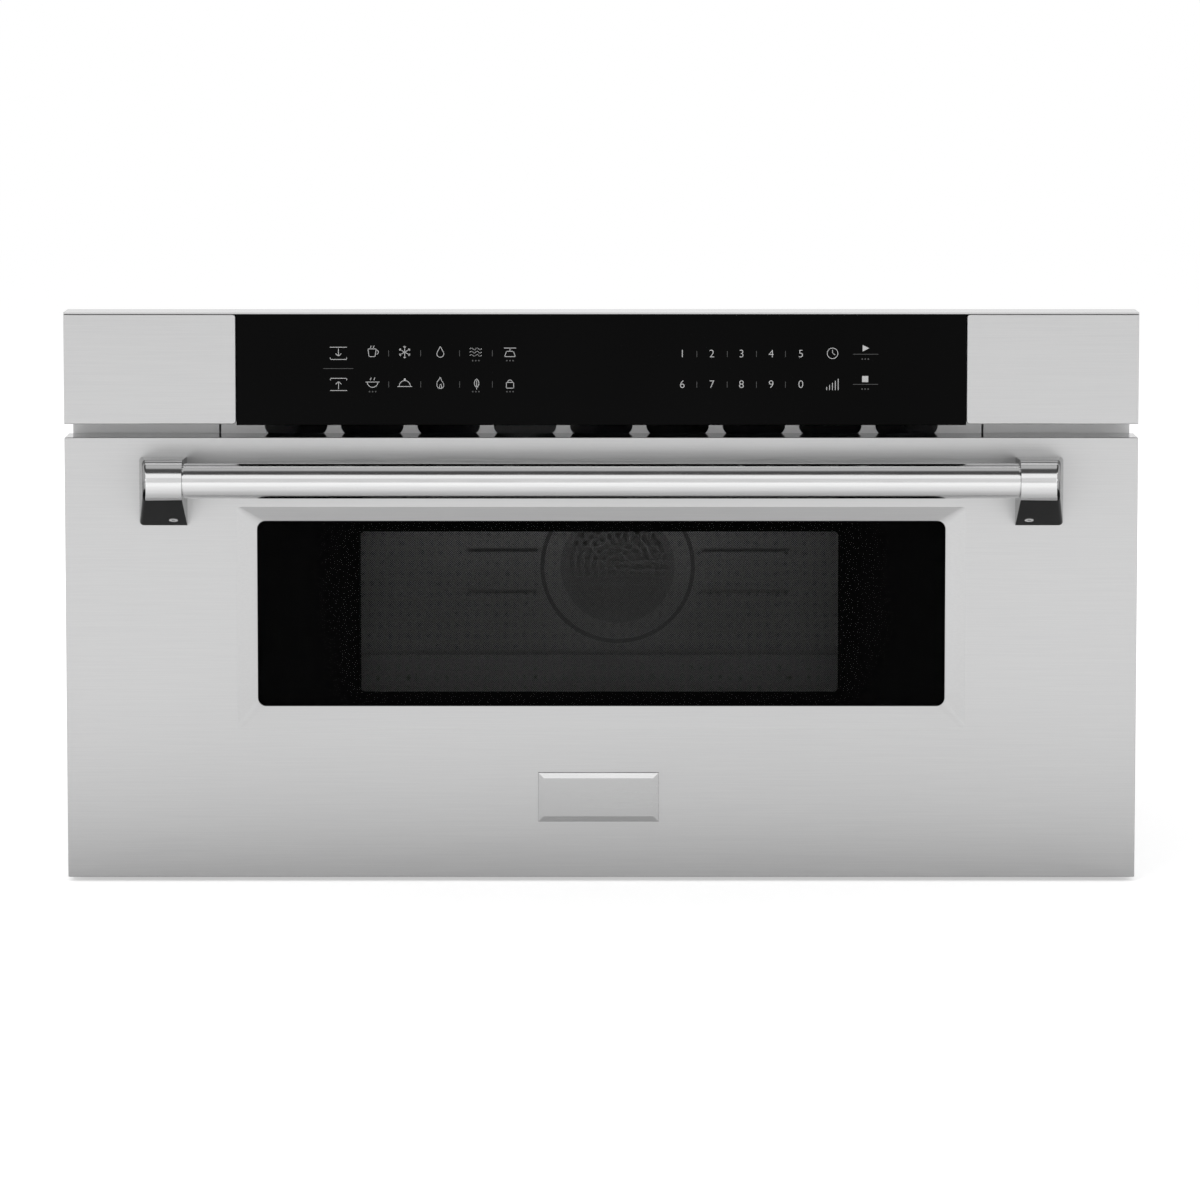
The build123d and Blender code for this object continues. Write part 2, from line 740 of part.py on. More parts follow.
blade_plane_y = motor_seat + 12.0
with BuildPart() as fan_blade:
    with BuildSketch(facing_front(blade_plane_y + 7)) as fan_hub:
        with Locations((feed_x, fan_z)):
            Circle(fan_hub_radius)
    extrude(amount=14)
    with BuildSketch(facing_front(blade_plane_y)) as fan_shaft:
        with Locations((feed_x, fan_z)):
            Circle(fan_shaft_radius)
    extrude(amount=12 + fan_motor_length / 2 - 1)
    for turn in range(fan_blades):
        angle = turn * 2 * pi / fan_blades
        reach = Vector(cos(angle), 0, sin(angle))
        across = Vector(-sin(angle) * cos(radians(32)), sin(radians(32)), cos(angle) * cos(radians(32)))
        blade_plane = Plane(
            origin=(feed_x, blade_plane_y, fan_z), x_dir=reach, z_dir=reach.cross(across)
        )
        with BuildSketch(blade_plane) as blade_shape:
            with Locations(((fan_hub_radius + fan_radius) / 2 - 1, 0)):
                RectangleRounded(fan_radius - fan_hub_radius - 1, 20, 6)
            with Locations((fan_hub_radius, 0)):
                Rectangle(10, 12)
        extrude(amount=0.6, both=True)
fan_blade.part.label = "fan_blade"
export_step(fan_blade.part, "parts/fan_blade.step")

# ---- Electrics on the base ---------------------------------------------------------------------
transformer_x = (transformer_left, transformer_left + transformer_length)
transformer_rear = chassis_rear - transformer_inset
transformer_y = (transformer_rear - transformer_depth, transformer_rear)
board_left = board_inset_x - inner_side
board_rear = chassis_rear - board_inset_y
board_x = (board_left, board_left + power_board_width)
board_y = (board_rear - power_board_depth, board_rear)
capacitor_y = chassis_rear - capacitor_inset

with BuildPart() as hv_transformer:
    transformer_mid_x = sum(transformer_x) / 2
    transformer_mid_y = sum(transformer_y) / 2
    block(
        (transformer_x[0] - 12, transformer_x[1] + 12),
        (transformer_mid_y - transformer_stack, transformer_mid_y + transformer_stack),
        (sheet, sheet + 2),
    )
    block(
        transformer_x,
        (transformer_mid_y - transformer_stack, transformer_mid_y + transformer_stack),
        (sheet, sheet + transformer_height),
    )
    for hole_x in (transformer_mid_x - 24, transformer_mid_x + 24):
        block(
            (hole_x - 11, hole_x + 11),
            (transformer_mid_y - transformer_stack, transformer_mid_y + transformer_stack),
            (sheet + 18, sheet + transformer_height - 18),
            mode=Mode.SUBTRACT,
        )
    for low, high in ((20, 42), (48, transformer_height - 20)):
        with BuildSketch(Plane.XY.offset(sheet + low)) as coil:
            with Locations((transformer_mid_x, transformer_mid_y)):
                RectangleRounded(66, transformer_y[1] - transformer_y[0] + 20, 12)
        extrude(amount=high - low)
hv_transformer.part.label = "hv_transformer"
export_step(hv_transformer.part, "parts/hv_transformer.step")

with BuildPart() as hv_capacitor:
    with BuildSketch(Plane.XY.offset(sheet)) as capacitor_can:
        with Locations((capacitor_x, capacitor_y)):
            SlotOverall(56, 34)
    extrude(amount=capacitor_height)
    with BuildSketch(Plane.XY.offset(sheet + capacitor_height)) as capacitor_tabs:
        with Locations((capacitor_x, capacitor_y)):
            with GridLocations(26, 1, 2, 1):
                Rectangle(1, 6.3)
    extrude(amount=9)
    with BuildSketch(Plane.XY.offset(sheet + 30)) as capacitor_strap:
        with Locations((capacitor_x, capacitor_y)):
            SlotOverall(58, 36)
    extrude(amount=12)
    strap_y = (capacitor_y - 6, capacitor_y + 6)
    block((capacitor_x + 26, capacitor_x + 46), strap_y, (sheet, sheet + 1.5))
    block((capacitor_x + 26, capacitor_x + 30.5), strap_y, (sheet, sheet + 36))
hv_capacitor.part.label = "hv_capacitor"
export_step(hv_capacitor.part, "parts/hv_capacitor.step")

with BuildPart() as power_board:
    board_mid = ((board_x[0] + board_x[1]) / 2, (board_y[0] + board_y[1]) / 2)
    board_low = sheet + board_post_height
    block(board_x, board_y, (board_low, board_low + board_thickness))
    with BuildSketch(Plane.XY.offset(sheet)) as board_posts:
        with Locations(board_mid):
            with GridLocations(power_board_width - 16, power_board_depth - 16, 2, 2):
                Circle(post_radius)
    extrude(amount=board_post_height)
    board_top = board_low + board_thickness
    for part_x, part_y, part_w, part_d, part_h in (
        (-65, 30, 24, 18, 20),
        (-35, 30, 24, 18, 20),
        (-5, 30, 24, 18, 20),
        (40, 20, 44, 38, 32),
        (-65, -25, 30, 14, 10),
        (-20, -30, 34, 26, 14),
    ):
        block(
            (board_mid[0] + part_x - part_w / 2, board_mid[0] + part_x + part_w / 2),
            (board_mid[1] + part_y - part_d / 2, board_mid[1] + part_y + part_d / 2),
            (board_top, board_top + part_h),
        )
    with BuildSketch(Plane.XY.offset(board_top)) as board_cans:
        with Locations((board_mid[0] + 45, board_mid[1] - 25)):
            with GridLocations(20, 1, 3, 1):
                Circle(8)
    extrude(amount=24)
power_board.part.label = "power_board"
export_step(power_board.part, "parts/power_board.step")

with BuildPart() as cord_gland:
    with BuildSketch(facing_rear(chassis_rear)) as gland_head:
        with Locations((-cord_x, cord_z)):
            Circle(cord_hole_radius + 4)
    extrude(amount=6)
    fillet(cord_gland.faces().sort_by(Axis.Y)[-1].edges(), 1.5)
    with BuildSketch(facing_front(chassis_rear)) as gland_neck:
        with Locations((cord_x, cord_z)):
            Circle(cord_hole_radius - screw_hole_clearance)
    extrude(amount=14)
    with BuildSketch(facing_rear(chassis_rear - 14)) as gland_bore:
        with Locations((-cord_x, cord_z)):
            Circle(cord_bore_radius)
    extrude(amount=20, mode=Mode.SUBTRACT)
cord_gland.part.label = "cord_gland"
export_step(cord_gland.part, "parts/cord_gland.step")

switch_size = (10.0, 28.0, 16.0)
switch_gap = 1.0
with BuildPart() as interlock_switches:
    switch_low = latch_z + latch_height / 2 + switch_gap
    for switch_x, level in ((-latch_x, 0), (latch_x, 0), (latch_x, 1)):
        low = switch_low + level * switch_size[2]
        block(
            (switch_x - switch_size[0] / 2, switch_x + switch_size[0] / 2 - level),
            (chassis_front, chassis_front + switch_size[1]),
            (low, low + switch_size[2]),
        )
    for switch_x in (-latch_x, latch_x):
        with BuildSketch(Plane.XY.offset(switch_low)) as plunger:
            with Locations((switch_x, chassis_front + 12)):
                Circle(1.5)
        extrude(amount=rail_clearance - switch_gap)
interlock_switches.part.label = "interlock_switches"
export_step(interlock_switches.part, "parts/interlock_switches.step")

# ---- Telescopic rails, one set a side ----------------------------------------------------------
outer_half = rail_height / 2
middle_half = outer_half - rail_sheet - rail_clearance
inner_half = middle_half - middle_sheet - rail_clearance
middle_web = rail_web + rail_sheet + rail_clearance
inner_web = middle_web + middle_sheet + rail_clearance


def channel(sign, web, thickness, half_height, span):
    """A C-channel lying along Y, open away from the cavity."""
    block(
        (sign * web, sign * (web + thickness)),
        span,
        (rail_centre_z - half_height, rail_centre_z + half_height),
    )
    for up in (-1, 1):
        block(
            (sign * web, sign * (web + rail_depth)),
            span,
            (
                rail_centre_z + up * (half_height - thickness),
                rail_centre_z + up * half_height,
            ),
        )


for side, sign in sides:
    with BuildPart() as rail_bracket:
        block(
            (sign * (rail_web - sheet), sign * rail_web),
            rail_span,
            (rail_centre_z - rail_bracket_height / 2, rail_centre_z + rail_bracket_height / 2),
        )
        for up in (-1, 1):
            flange_z = rail_centre_z + up * rail_bracket_height / 2
            block((sign * cavity_outer, sign * rail_web), rail_span, (flange_z - up * sheet, flange_z))
            block(
                (sign * cavity_outer, sign * (cavity_outer + sheet)),
                rail_span,
                (flange_z - up * sheet, flange_z + up * 10),
            )
    rail_bracket.part.label = f"rail_bracket_{side}"
    export_step(rail_bracket.part, f"parts/rail_bracket_{side}.step")

    with BuildPart() as outer_rail:
        channel(sign, rail_web, rail_sheet, outer_half, rail_span)
    outer_rail.part.label = f"outer_rail_{side}"
    export_step(outer_rail.part, f"parts/outer_rail_{side}.step")

    with BuildPart() as middle_rail:
        channel(sign, middle_web, middle_sheet, middle_half, rail_span)
    middle_rail.part.label = f"middle_rail_{side}"
    export_step(middle_rail.part, f"parts/middle_rail_{side}.step")

    with BuildPart() as inner_rail:
        channel(sign, inner_web, rail_sheet, inner_half, (drawer_rear, rail_span[1]))
        block(
            (sign * inner_web, sign * (inner_web + rail_tab_width)),
            (drawer_rear, drawer_rear + 1.2),
            (rail_centre_z - inner_half, rail_centre_z + inner_half),
        )
    inner_rail.part.label = f"inner_rail_{side}"
    export_step(inner_rail.part, f"parts/inner_rail_{side}.step")

# ---- Drive -------------------------------------------------------------------------------------


def involute_points(base_radius, outer_radius, half_angle, steps=7):
    """One flank of a gear tooth, from the base circle to the tip, for a tooth along local X.

    half_angle is the tooth's half thickness at the base circle, as an angle.
    """
    last = sqrt((outer_radius / base_radius) ** 2 - 1)
    points = []
    for step in range(steps + 1):
        roll = last * step / steps
        radius = base_radius * sqrt(1 + roll**2)
        angle = half_angle - (roll - atan2(roll, 1))
        points.append((radius * cos(angle), radius * sin(angle)))
    return points


def gear_profile(teeth, module, addendum, start_degrees):
    """Draw a spur gear in the open sketch, with one tooth pointing along start_degrees."""
    pitch = module * teeth / 2
    base = pitch * cos(pressure_angle)
    outer = pitch + addendum * module
    root = pitch - (1 + root_clearance) * module
    half_pitch_angle = (pi * module / 2 - backlash) / 2 / pitch
    half_base_angle = half_pitch_angle + tan(pressure_angle) - pressure_angle
    flank = involute_points(base, outer, half_base_angle)
    inner = (root - 0.3 * module) * cos(half_base_angle)
    foot = (root - 0.3 * module) * sin(half_base_angle)
    Circle(root)
    tooth = [(inner, foot)] + flank
    tooth += [(x, -y) for x, y in reversed(tooth)]
    with PolarLocations(0, teeth, start_angle=start_degrees):
        Polygon(*tooth, align=None)


bracket_left = -(rack_width / 2 + bracket_sheet)
pinion_half = rack_width / 2 + 1.0
gear_x = pinion_half + gear_side_gap
bracket_right = gear_x + gear_width + 1.5
uprights = (bracket_left - bracket_sheet, bracket_right)

with BuildPart() as drive_bracket:
    block(
        (uprights[0], bracket_right + bracket_sheet),
        (pinion_y - 24, motor_gear_y + 26),
        (sheet, sheet + bracket_sheet),
    )
    for upright_x in uprights:
        upright_top = pinion_z + 24 if upright_x > 0 else pinion_z + 10
        with BuildSketch(Plane.YZ.offset(upright_x)) as upright:
            with Locations(((pinion_y + motor_gear_y + 2) / 2, (sheet + upright_top) / 2)):
                Rectangle(motor_gear_y - pinion_y + 50, upright_top - sheet)
            with Locations((pinion_y, pinion_z)):
                Circle(drive_shaft_radius + running_clearance, mode=Mode.SUBTRACT)
            if upright_x > 0:
                with Locations((motor_gear_y, pinion_z)):
                    Circle(motor_shaft_radius + running_clearance, mode=Mode.SUBTRACT)
        extrude(amount=bracket_sheet)
drive_bracket.part.label = "drive_bracket"
export_step(drive_bracket.part, "parts/drive_bracket.step")

with BuildPart() as drive_gear:
    with BuildSketch(Plane.YZ.offset(-pinion_half)) as pinion_teeth_outline:
        with Locations((pinion_y, pinion_z)):
            gear_profile(pinion_teeth, rack_module, rack_addendum, 90)
    extrude(amount=2 * pinion_half)
    with BuildSketch(Plane.YZ.offset(pinion_half)) as gear_boss:
        with Locations((pinion_y, pinion_z)):
            Circle(2 * drive_shaft_radius)
    extrude(amount=gear_side_gap)
    with BuildSketch(Plane.YZ.offset(gear_x)) as gear_teeth_outline:
        with Locations((pinion_y, pinion_z)):
            gear_profile(gear_teeth, gear_module, 1, 0)
    extrude(amount=gear_width)
    with BuildSketch(Plane.YZ.offset(uprights[0] - 1)) as drive_shaft:
        with Locations((pinion_y, pinion_z)):
            Circle(drive_shaft_radius)
    extrude(amount=uprights[1] + bracket_sheet + 1 - (uprights[0] - 1))
drive_gear.part.label = "drive_gear"
export_step(drive_gear.part, "parts/drive_gear.step")

with BuildPart() as motor_gear:
    with BuildSketch(Plane.YZ.offset(gear_x)) as motor_gear_outline:
        with Locations((motor_gear_y, pinion_z)):
            gear_profile(motor_gear_teeth, gear_module, 1, 180 + 180 / motor_gear_teeth)
    extrude(amount=gear_width)
    with BuildSketch(Plane.YZ.offset(gear_x - 2)) as motor_shaft:
        with Locations((motor_gear_y, pinion_z)):
            Circle(motor_shaft_radius)
    extrude(amount=gear_width + 2 + 1.5 + bracket_sheet + motor_length / 2)
motor_gear.part.label = "motor_gear"
export_step(motor_gear.part, "parts/motor_gear.step")

motor_face = bracket_right + bracket_sheet
with BuildPart() as drive_motor:
    with BuildSketch(Plane.YZ.offset(motor_face)) as motor_can:
        with Locations((motor_gear_y, pinion_z)):
            Circle(motor_radius)
    extrude(amount=motor_length)
    fillet(drive_motor.faces().sort_by(Axis.X)[-1].edges(), 2.5)
    with BuildSketch(Plane.YZ.offset(motor_face + motor_length)) as motor_tail:
        with Locations((motor_gear_y, pinion_z)):
            Circle(7)
    extrude(amount=4)
    with BuildSketch(Plane.YZ.offset(motor_face)) as motor_bore:
        with Locations((motor_gear_y, pinion_z)):
            Circle(motor_shaft_radius + running_clearance)
    extrude(amount=motor_length / 2 + 1, mode=Mode.SUBTRACT)
drive_motor.part.label = "drive_motor"
export_step(drive_motor.part, "parts/drive_motor.step")

rack_pitch = pi * rack_module
with BuildPart() as drive_rack:
    first_gap = -int((pinion_y - drawer_rear - 14) // rack_pitch)
    last_gap = int((rack_end - pinion_y) // rack_pitch)
    gap_half = (pi * rack_module / 2 + backlash) / 2
    tooth_low = rack_pitch_z - rack_addendum * rack_module
    flare = tan(pressure_angle)
    with BuildSketch(Plane.YZ.offset(-rack_width / 2)) as rack_outline:
        with Locations(((drawer_rear + rack_end) / 2, (tooth_low + rack_back_z) / 2)):
            Rectangle(rack_end - drawer_rear, rack_back_z - tooth_low)
        for gap in range(first_gap, last_gap + 1):
            gap_y = pinion_y + gap * rack_pitch
            low_half = gap_half + (rack_pitch_z - tooth_low + 1) * flare
            high_half = gap_half - (rack_root_z - rack_pitch_z) * flare
            Polygon(
                (gap_y - low_half, tooth_low - 1),
                (gap_y + low_half, tooth_low - 1),
                (gap_y + high_half, rack_root_z),
                (gap_y - high_half, rack_root_z),
                align=None,
                mode=Mode.SUBTRACT,
            )
    extrude(amount=rack_width)
    block((-16, 16), (drawer_rear, drawer_rear + 1.2), (rack_pitch_z - 12, rack_back_z))
drive_rack.part.label = "drive_rack"
export_step(drive_rack.part, "parts/drive_rack.step")

# ---- Control panel above the drawer ------------------------------------------------------------
half_glass = glass_width / 2
housing_low = control_bottom + panel_sheet + joint_line
housing_high = housing_top - panel_sheet - joint_line
housing_half = half_front - panel_sheet - joint_line
control_mid_z = (control_bottom + housing_top) / 2
board_front = housing_front + display_thickness

with BuildPart() as control_housing:
    block((-housing_half, housing_half), (housing_front, louver_front), (housing_low, housing_high))
    block(
        (-housing_half + housing_wall, housing_half - housing_wall),
        (housing_front, louver_front - housing_wall),
        (housing_low + housing_wall, housing_high - housing_wall),
        mode=Mode.SUBTRACT,
    )
    for sign in (-1, 1):
        block(
            (sign * (half_glass + 6), sign * (half_glass + 6 + housing_wall)),
            (housing_front + cap_return, louver_front - housing_wall),
            (housing_low + housing_wall, housing_high - housing_wall),
        )
    with BuildSketch(facing_front(louver_front - housing_wall)) as housing_posts:
        with Locations((0, control_mid_z)):
            with GridLocations(board_width - 16, board_height - 12, 2, 2):
                Circle(post_radius)
    extrude(amount=louver_front - housing_wall - (board_front + board_thickness))
control_housing.part.label = "control_housing"
export_step(control_housing.part, "parts/control_housing.step")

with BuildPart() as control_glass:
    block(
        (-half_glass + joint_line, half_glass - joint_line),
        (glass_front, housing_front),
        (control_bottom - glass_drop, housing_top),
    )
    chamfer(control_glass.edges().group_by(Axis.Y)[0], 0.4)
control_glass.part.label = "control_glass"
export_step(control_glass.part, "parts/control_glass.step")

with BuildPart() as control_board:
    block(
        (-board_width / 2, board_width / 2),
        (board_front, board_front + board_thickness),
        (control_mid_z - board_height / 2, control_mid_z + board_height / 2),
    )
    for chip_x, chip_w, chip_h in ((-150, 24, 24), (-90, 12, 16), (60, 30, 12), (150, 24, 24)):
        block(
            (chip_x - chip_w / 2, chip_x + chip_w / 2),
            (board_front + board_thickness, board_front + board_thickness + 3),
            (control_mid_z - chip_h / 2, control_mid_z + chip_h / 2),
        )
control_board.part.label = "control_board"
export_step(control_board.part, "parts/control_board.step")

with BuildPart() as display_module:
    block(
        (-display_width / 2, display_width / 2),
        (housing_front, board_front),
        (control_mid_z - display_height / 2, control_mid_z + display_height / 2),
    )
display_module.part.label = "display_module"
export_step(display_module.part, "parts/display_module.step")

for side, sign in sides:
    with BuildPart() as panel_cap:
        cap_x = (sign * half_glass, sign * half_front)
        block(cap_x, (front_face, louver_front), (control_bottom, housing_top))
        inner_edges = panel_cap.edges().filter_by(Axis.Y).group_by(Axis.X)[0 if sign > 0 else -1]
        fillet(inner_edges, cap_corner_radius)
        fillet(panel_cap.faces().sort_by(Axis.Y)[0].edges(), front_edge_radius)
        block(
            (sign * (half_glass + panel_sheet), sign * (half_front - panel_sheet)),
            (front_face + panel_sheet, louver_front),
            (control_bottom + panel_sheet, housing_top - panel_sheet),
            mode=Mode.SUBTRACT,
        )
        block(
            (sign * half_glass, sign * (half_glass + panel_sheet)),
            (front_face + cap_proud + cap_return - 2, louver_front),
            (control_bottom, housing_top),
            mode=Mode.SUBTRACT,
        )
    panel_cap.part.label = f"panel_cap_{side}"
    export_step(panel_cap.part, f"parts/panel_cap_{side}.step")

with BuildPart() as panel_top_strip:
    block(
        (-half_front, half_front),
        (front_face, louver_front),
        (control_top - top_strip_thickness, control_top),
    )
    fillet(panel_top_strip.edges().filter_by(Axis.Z), front_edge_radius)
    block(
        (-half_glass + 1, half_glass - 1),
        (louver_front - housing_wall - 12, louver_front - housing_wall),
        (housing_high, control_top - top_strip_thickness),
    )
panel_top_strip.part.label = "panel_top_strip"
export_step(panel_top_strip.part, "parts/panel_top_strip.step")

# ---- Drawer front ------------------------------------------------------------------------------
drawer_mid_z = (drawer_bottom + drawer_top) / 2
inner_depth = drawer_rear - panel_sheet
bracket_mid_x = bracket_inner + bracket_front_width / 2
bracket_base_top = drawer_top - bracket_top_drop
bracket_base_low = bracket_base_top - bracket_base_height
bracket_base_mid = (bracket_base_top + bracket_base_low) / 2
handle_screw_places = [
    (sign * bracket_mid_x, bracket_base_mid + up * handle_screw_pitch / 2)
    for sign in (-1, 1)
    for up in (-1, 1)
]

with BuildPart() as drawer_panel:
    with BuildSketch(facing_front(drawer_rear)) as pan_outline:
        with Locations((0, drawer_mid_z)):
            Rectangle(front_width, drawer_front_height)
    extrude(amount=front_thickness)
    fillet(drawer_panel.edges().filter_by(Axis.Y), front_edge_radius)
    fillet(drawer_panel.faces().sort_by(Axis.Y)[0].edges(), front_edge_radius)
    block(
        (-half_front + panel_sheet, half_front - panel_sheet),
        (front_face + panel_sheet, drawer_rear),
        (drawer_bottom + panel_sheet, drawer_top - panel_sheet),
        mode=Mode.SUBTRACT,
    )
    # The window's sloping surround is pressed into the sheet, so it is added and hollowed.
    for mode, grow in ((Mode.ADD, panel_sheet), (Mode.SUBTRACT, 0)):
        with BuildSketch(facing_front(front_face)) as bevel_mouth:
            with Locations((0, window_centre_z + (bevel_top - bevel_bottom) / 2)):
                RectangleRounded(
                    window_width + 2 * bevel_side + grow,
                    window_height + bevel_top + bevel_bottom + grow,
                    bevel_corner,
                )
        with BuildSketch(facing_front(front_face + bevel_depth + grow)) as bevel_floor:
            with Locations((0, window_centre_z)):
                RectangleRounded(window_width + 2 * grow, window_height + 2 * grow, window_corner)
        loft(mode=mode)
    with BuildSketch(facing_front(front_face)) as window_hole:
        with Locations((0, window_centre_z)):
            RectangleRounded(window_width, window_height, window_corner)
    extrude(amount=-(bevel_depth + 2 * panel_sheet), mode=Mode.SUBTRACT)
    with BuildSketch(facing_front(front_face)) as panel_screw_holes:
        with Locations(*handle_screw_places):
            Circle(handle_screw_radius + screw_hole_clearance)
    extrude(amount=-2 * panel_sheet, mode=Mode.SUBTRACT)
drawer_panel.part.label = "drawer_panel"
export_step(drawer_panel.part, "parts/drawer_panel.step")

window_glass_front = front_face + bevel_depth + panel_sheet
with BuildPart() as window_glass:
    with BuildSketch(facing_front(window_glass_front)) as glass_outline:
        with Locations((0, window_centre_z)):
            RectangleRounded(
                window_width + 2 * glass_margin,
                window_height + 2 * glass_margin,
                window_corner,
            )
    extrude(amount=-glass_thickness)
window_glass.part.label = "window_glass"
export_step(window_glass.part, "parts/window_glass.step")

opening_width = see_through_width + 20
opening_height = see_through_height + 20
screen_back = inner_depth
glass_back = window_glass_front + glass_thickness
with BuildPart() as window_screen:
    with BuildSketch(facing_front(glass_back)) as screen_flange:
        with Locations((0, window_centre_z)):
            Rectangle(window_width + 2 * glass_margin, window_height + 2 * glass_margin)
            RectangleRounded(opening_width, opening_height, window_corner, mode=Mode.SUBTRACT)
    extrude(amount=-screen_thickness)
    with BuildSketch(facing_front(glass_back)) as screen_walls:
        with Locations((0, window_centre_z)):
            RectangleRounded(
                opening_width + 2 * screen_thickness,
                opening_height + 2 * screen_thickness,
                window_corner,
            )
            RectangleRounded(opening_width, opening_height, window_corner, mode=Mode.SUBTRACT)
    extrude(amount=-(screen_back - glass_back))
    with BuildSketch(facing_front(screen_back)) as screen_floor:
        with Locations((0, window_centre_z)):
            RectangleRounded(
                opening_width + 2 * screen_margin,
                opening_height + 2 * screen_margin,
                window_corner,
            )
    extrude(amount=screen_thickness)
window_screen.part.label = "window_screen"
export_step(window_screen.part, "parts/window_screen.step")

choke_half_x = cavity_half + choke_inset
choke_low = cavity_low - choke_inset
choke_high = cavity_high + choke_inset
choke_mid_z = (choke_low + choke_high) / 2


def choke_ring(grow):
    """Draw the choke's rectangular ring, wider on both edges by grow."""
    with Locations((0, choke_mid_z)):
        Rectangle(
            2 * (choke_half_x + choke_width + grow),
            choke_high - choke_low + 2 * (choke_width + grow),
        )
        Rectangle(2 * (choke_half_x - grow), choke_high - choke_low - 2 * grow, mode=Mode.SUBTRACT)


with BuildPart() as drawer_back_plate:
    with BuildSketch(facing_front(drawer_rear)) as back_plate_outline:
        with Locations((0, drawer_mid_z)):
            Rectangle(
                front_width - 2 * (panel_sheet + choke_clearance),
                drawer_front_height - 2 * (panel_sheet + choke_clearance),
            )
    extrude(amount=panel_sheet)
    with BuildSketch(facing_front(drawer_rear)) as channel_outline:
        choke_ring(panel_sheet)
    extrude(amount=choke_depth + panel_sheet)
    with BuildSketch(facing_front(drawer_rear)) as channel_hollow:
        choke_ring(0)
    extrude(amount=choke_depth, mode=Mode.SUBTRACT)
    with BuildSketch(facing_front(drawer_rear)) as plate_window:
        with Locations((0, window_centre_z)):
            RectangleRounded(opening_width, opening_height, window_corner)
    extrude(amount=panel_sheet, mode=Mode.SUBTRACT)
drawer_back_plate.part.label = "drawer_back_plate"
export_step(drawer_back_plate.part, "parts/drawer_back_plate.step")

with BuildPart() as choke_frame:
    with BuildSketch(facing_front(drawer_rear)) as choke_outline:
        choke_ring(-choke_clearance)
    extrude(amount=choke_depth - choke_clearance)
choke_frame.part.label = "choke_frame"
export_step(choke_frame.part, "parts/choke_frame.step")

with BuildPart() as badge_plate:
    with BuildSketch(facing_front(front_face)) as badge_base:
        with Locations((badge_x, badge_centre_z)):
            Rectangle(badge_width, badge_height)
    extrude(amount=badge_edge)
    with BuildSketch(facing_front(front_face - badge_edge)) as badge_shoulder:
        with Locations((badge_x, badge_centre_z)):
            Rectangle(badge_width, badge_height)
    with BuildSketch(facing_front(front_face - badge_thickness)) as badge_face:
        with Locations((badge_x, badge_centre_z)):
            Rectangle(badge_width - 2 * badge_bevel, badge_height - 2 * badge_bevel)
    loft()
    shoulder_y = front_face - badge_edge
    fillet(badge_plate.edges().filter_by_position(Axis.Y, shoulder_y - 0.01, shoulder_y + 0.01), badge_round)
badge_plate.part.label = "badge_plate"
export_step(badge_plate.part, "parts/badge_plate.step")

# ---- Handle ------------------------------------------------------------------------------------
bar_half_length = bracket_inner + bar_socket
with BuildPart() as handle_bar:
    bar_steps = ((bracket_inner - bar_neck, bar_radius), (bar_half_length, bar_spigot_radius))
    for half_length, radius in bar_steps:
        with BuildSketch(Plane.YZ.offset(-half_length)) as bar_outline:
            with Locations((bar_y, bar_z)):
                Circle(radius)
        extrude(amount=2 * half_length)
handle_bar.part.label = "handle_bar"
export_step(handle_bar.part, "parts/handle_bar.step")

base_y = front_face - bracket_base_depth
to_base = (base_y - bar_y, bracket_base_low - bar_z)
tangent_angle = atan2(to_base[1], to_base[0]) - acos(bracket_boss_radius / hypot(*to_base))
slope_normal = (cos(tangent_angle), sin(tangent_angle))
slope_along = (slope_normal[1], -slope_normal[0])
set_screw_y = base_y + slope_along[0] * set_screw_inset
set_screw_z = bracket_base_low + slope_along[1] * set_screw_inset

for side, sign in sides:
    with BuildPart() as handle_bracket:
        with BuildSketch(Plane.YZ.offset(sign * bracket_inner)) as bracket_outline:
            with Locations((bar_y, bar_z)):
                Circle(bracket_boss_radius)
            with Locations((front_face - bracket_base_depth / 2, bracket_base_mid)):
                Rectangle(bracket_base_depth, bracket_base_height)
            make_hull()
        extrude(amount=sign * bracket_width)
        outer_corner = sign * (bracket_inner + bracket_width)
        front_corner = sign * (bracket_inner + bracket_front_width)
        boss_front = bar_y - bracket_boss_radius
        with BuildSketch(Plane.XY.offset(bracket_base_low - 1)) as taper_cut:
            Polygon(
                (outer_corner, front_face),
                (front_corner, boss_front),
                (front_corner, boss_front - 5),
                (outer_corner + sign * 5, boss_front - 5),
                (outer_corner + sign * 5, front_face),
                align=None,
            )
        extrude(amount=bracket_base_height + 20, mode=Mode.SUBTRACT)
        tapered_face = handle_bracket.faces().sort_by(Axis.X)[-1 if sign > 0 else 0]
        fillet(tapered_face.edges().sort_by(Axis.Y)[:-1], bracket_round)
        with BuildSketch(Plane.YZ.offset(sign * bracket_inner)) as bar_hole:
            with Locations((bar_y, bar_z)):
                Circle(bar_spigot_radius + screw_hole_clearance)
        extrude(amount=sign * bar_socket, mode=Mode.SUBTRACT)
        with BuildSketch(facing_front(front_face)) as bracket_screw_holes:
            with Locations(*[place for place in handle_screw_places if place[0] * sign > 0]):
                Circle(handle_screw_radius + screw_hole_clearance)
        extrude(amount=handle_screw_length, mode=Mode.SUBTRACT)
        set_screw_plane = Plane(
            origin=(sign * (bracket_inner + set_screw_edge), set_screw_y, set_screw_z),
            x_dir=(1, 0, 0),
            z_dir=(0, slope_normal[0], slope_normal[1]),
        )
        with BuildSketch(set_screw_plane) as set_screw_hole:
            Circle(set_screw_radius + screw_hole_clearance)
        extrude(amount=-set_screw_length - 1, mode=Mode.SUBTRACT)
    handle_bracket.part.label = f"handle_bracket_{side}"
    export_step(handle_bracket.part, f"parts/handle_bracket_{side}.step")

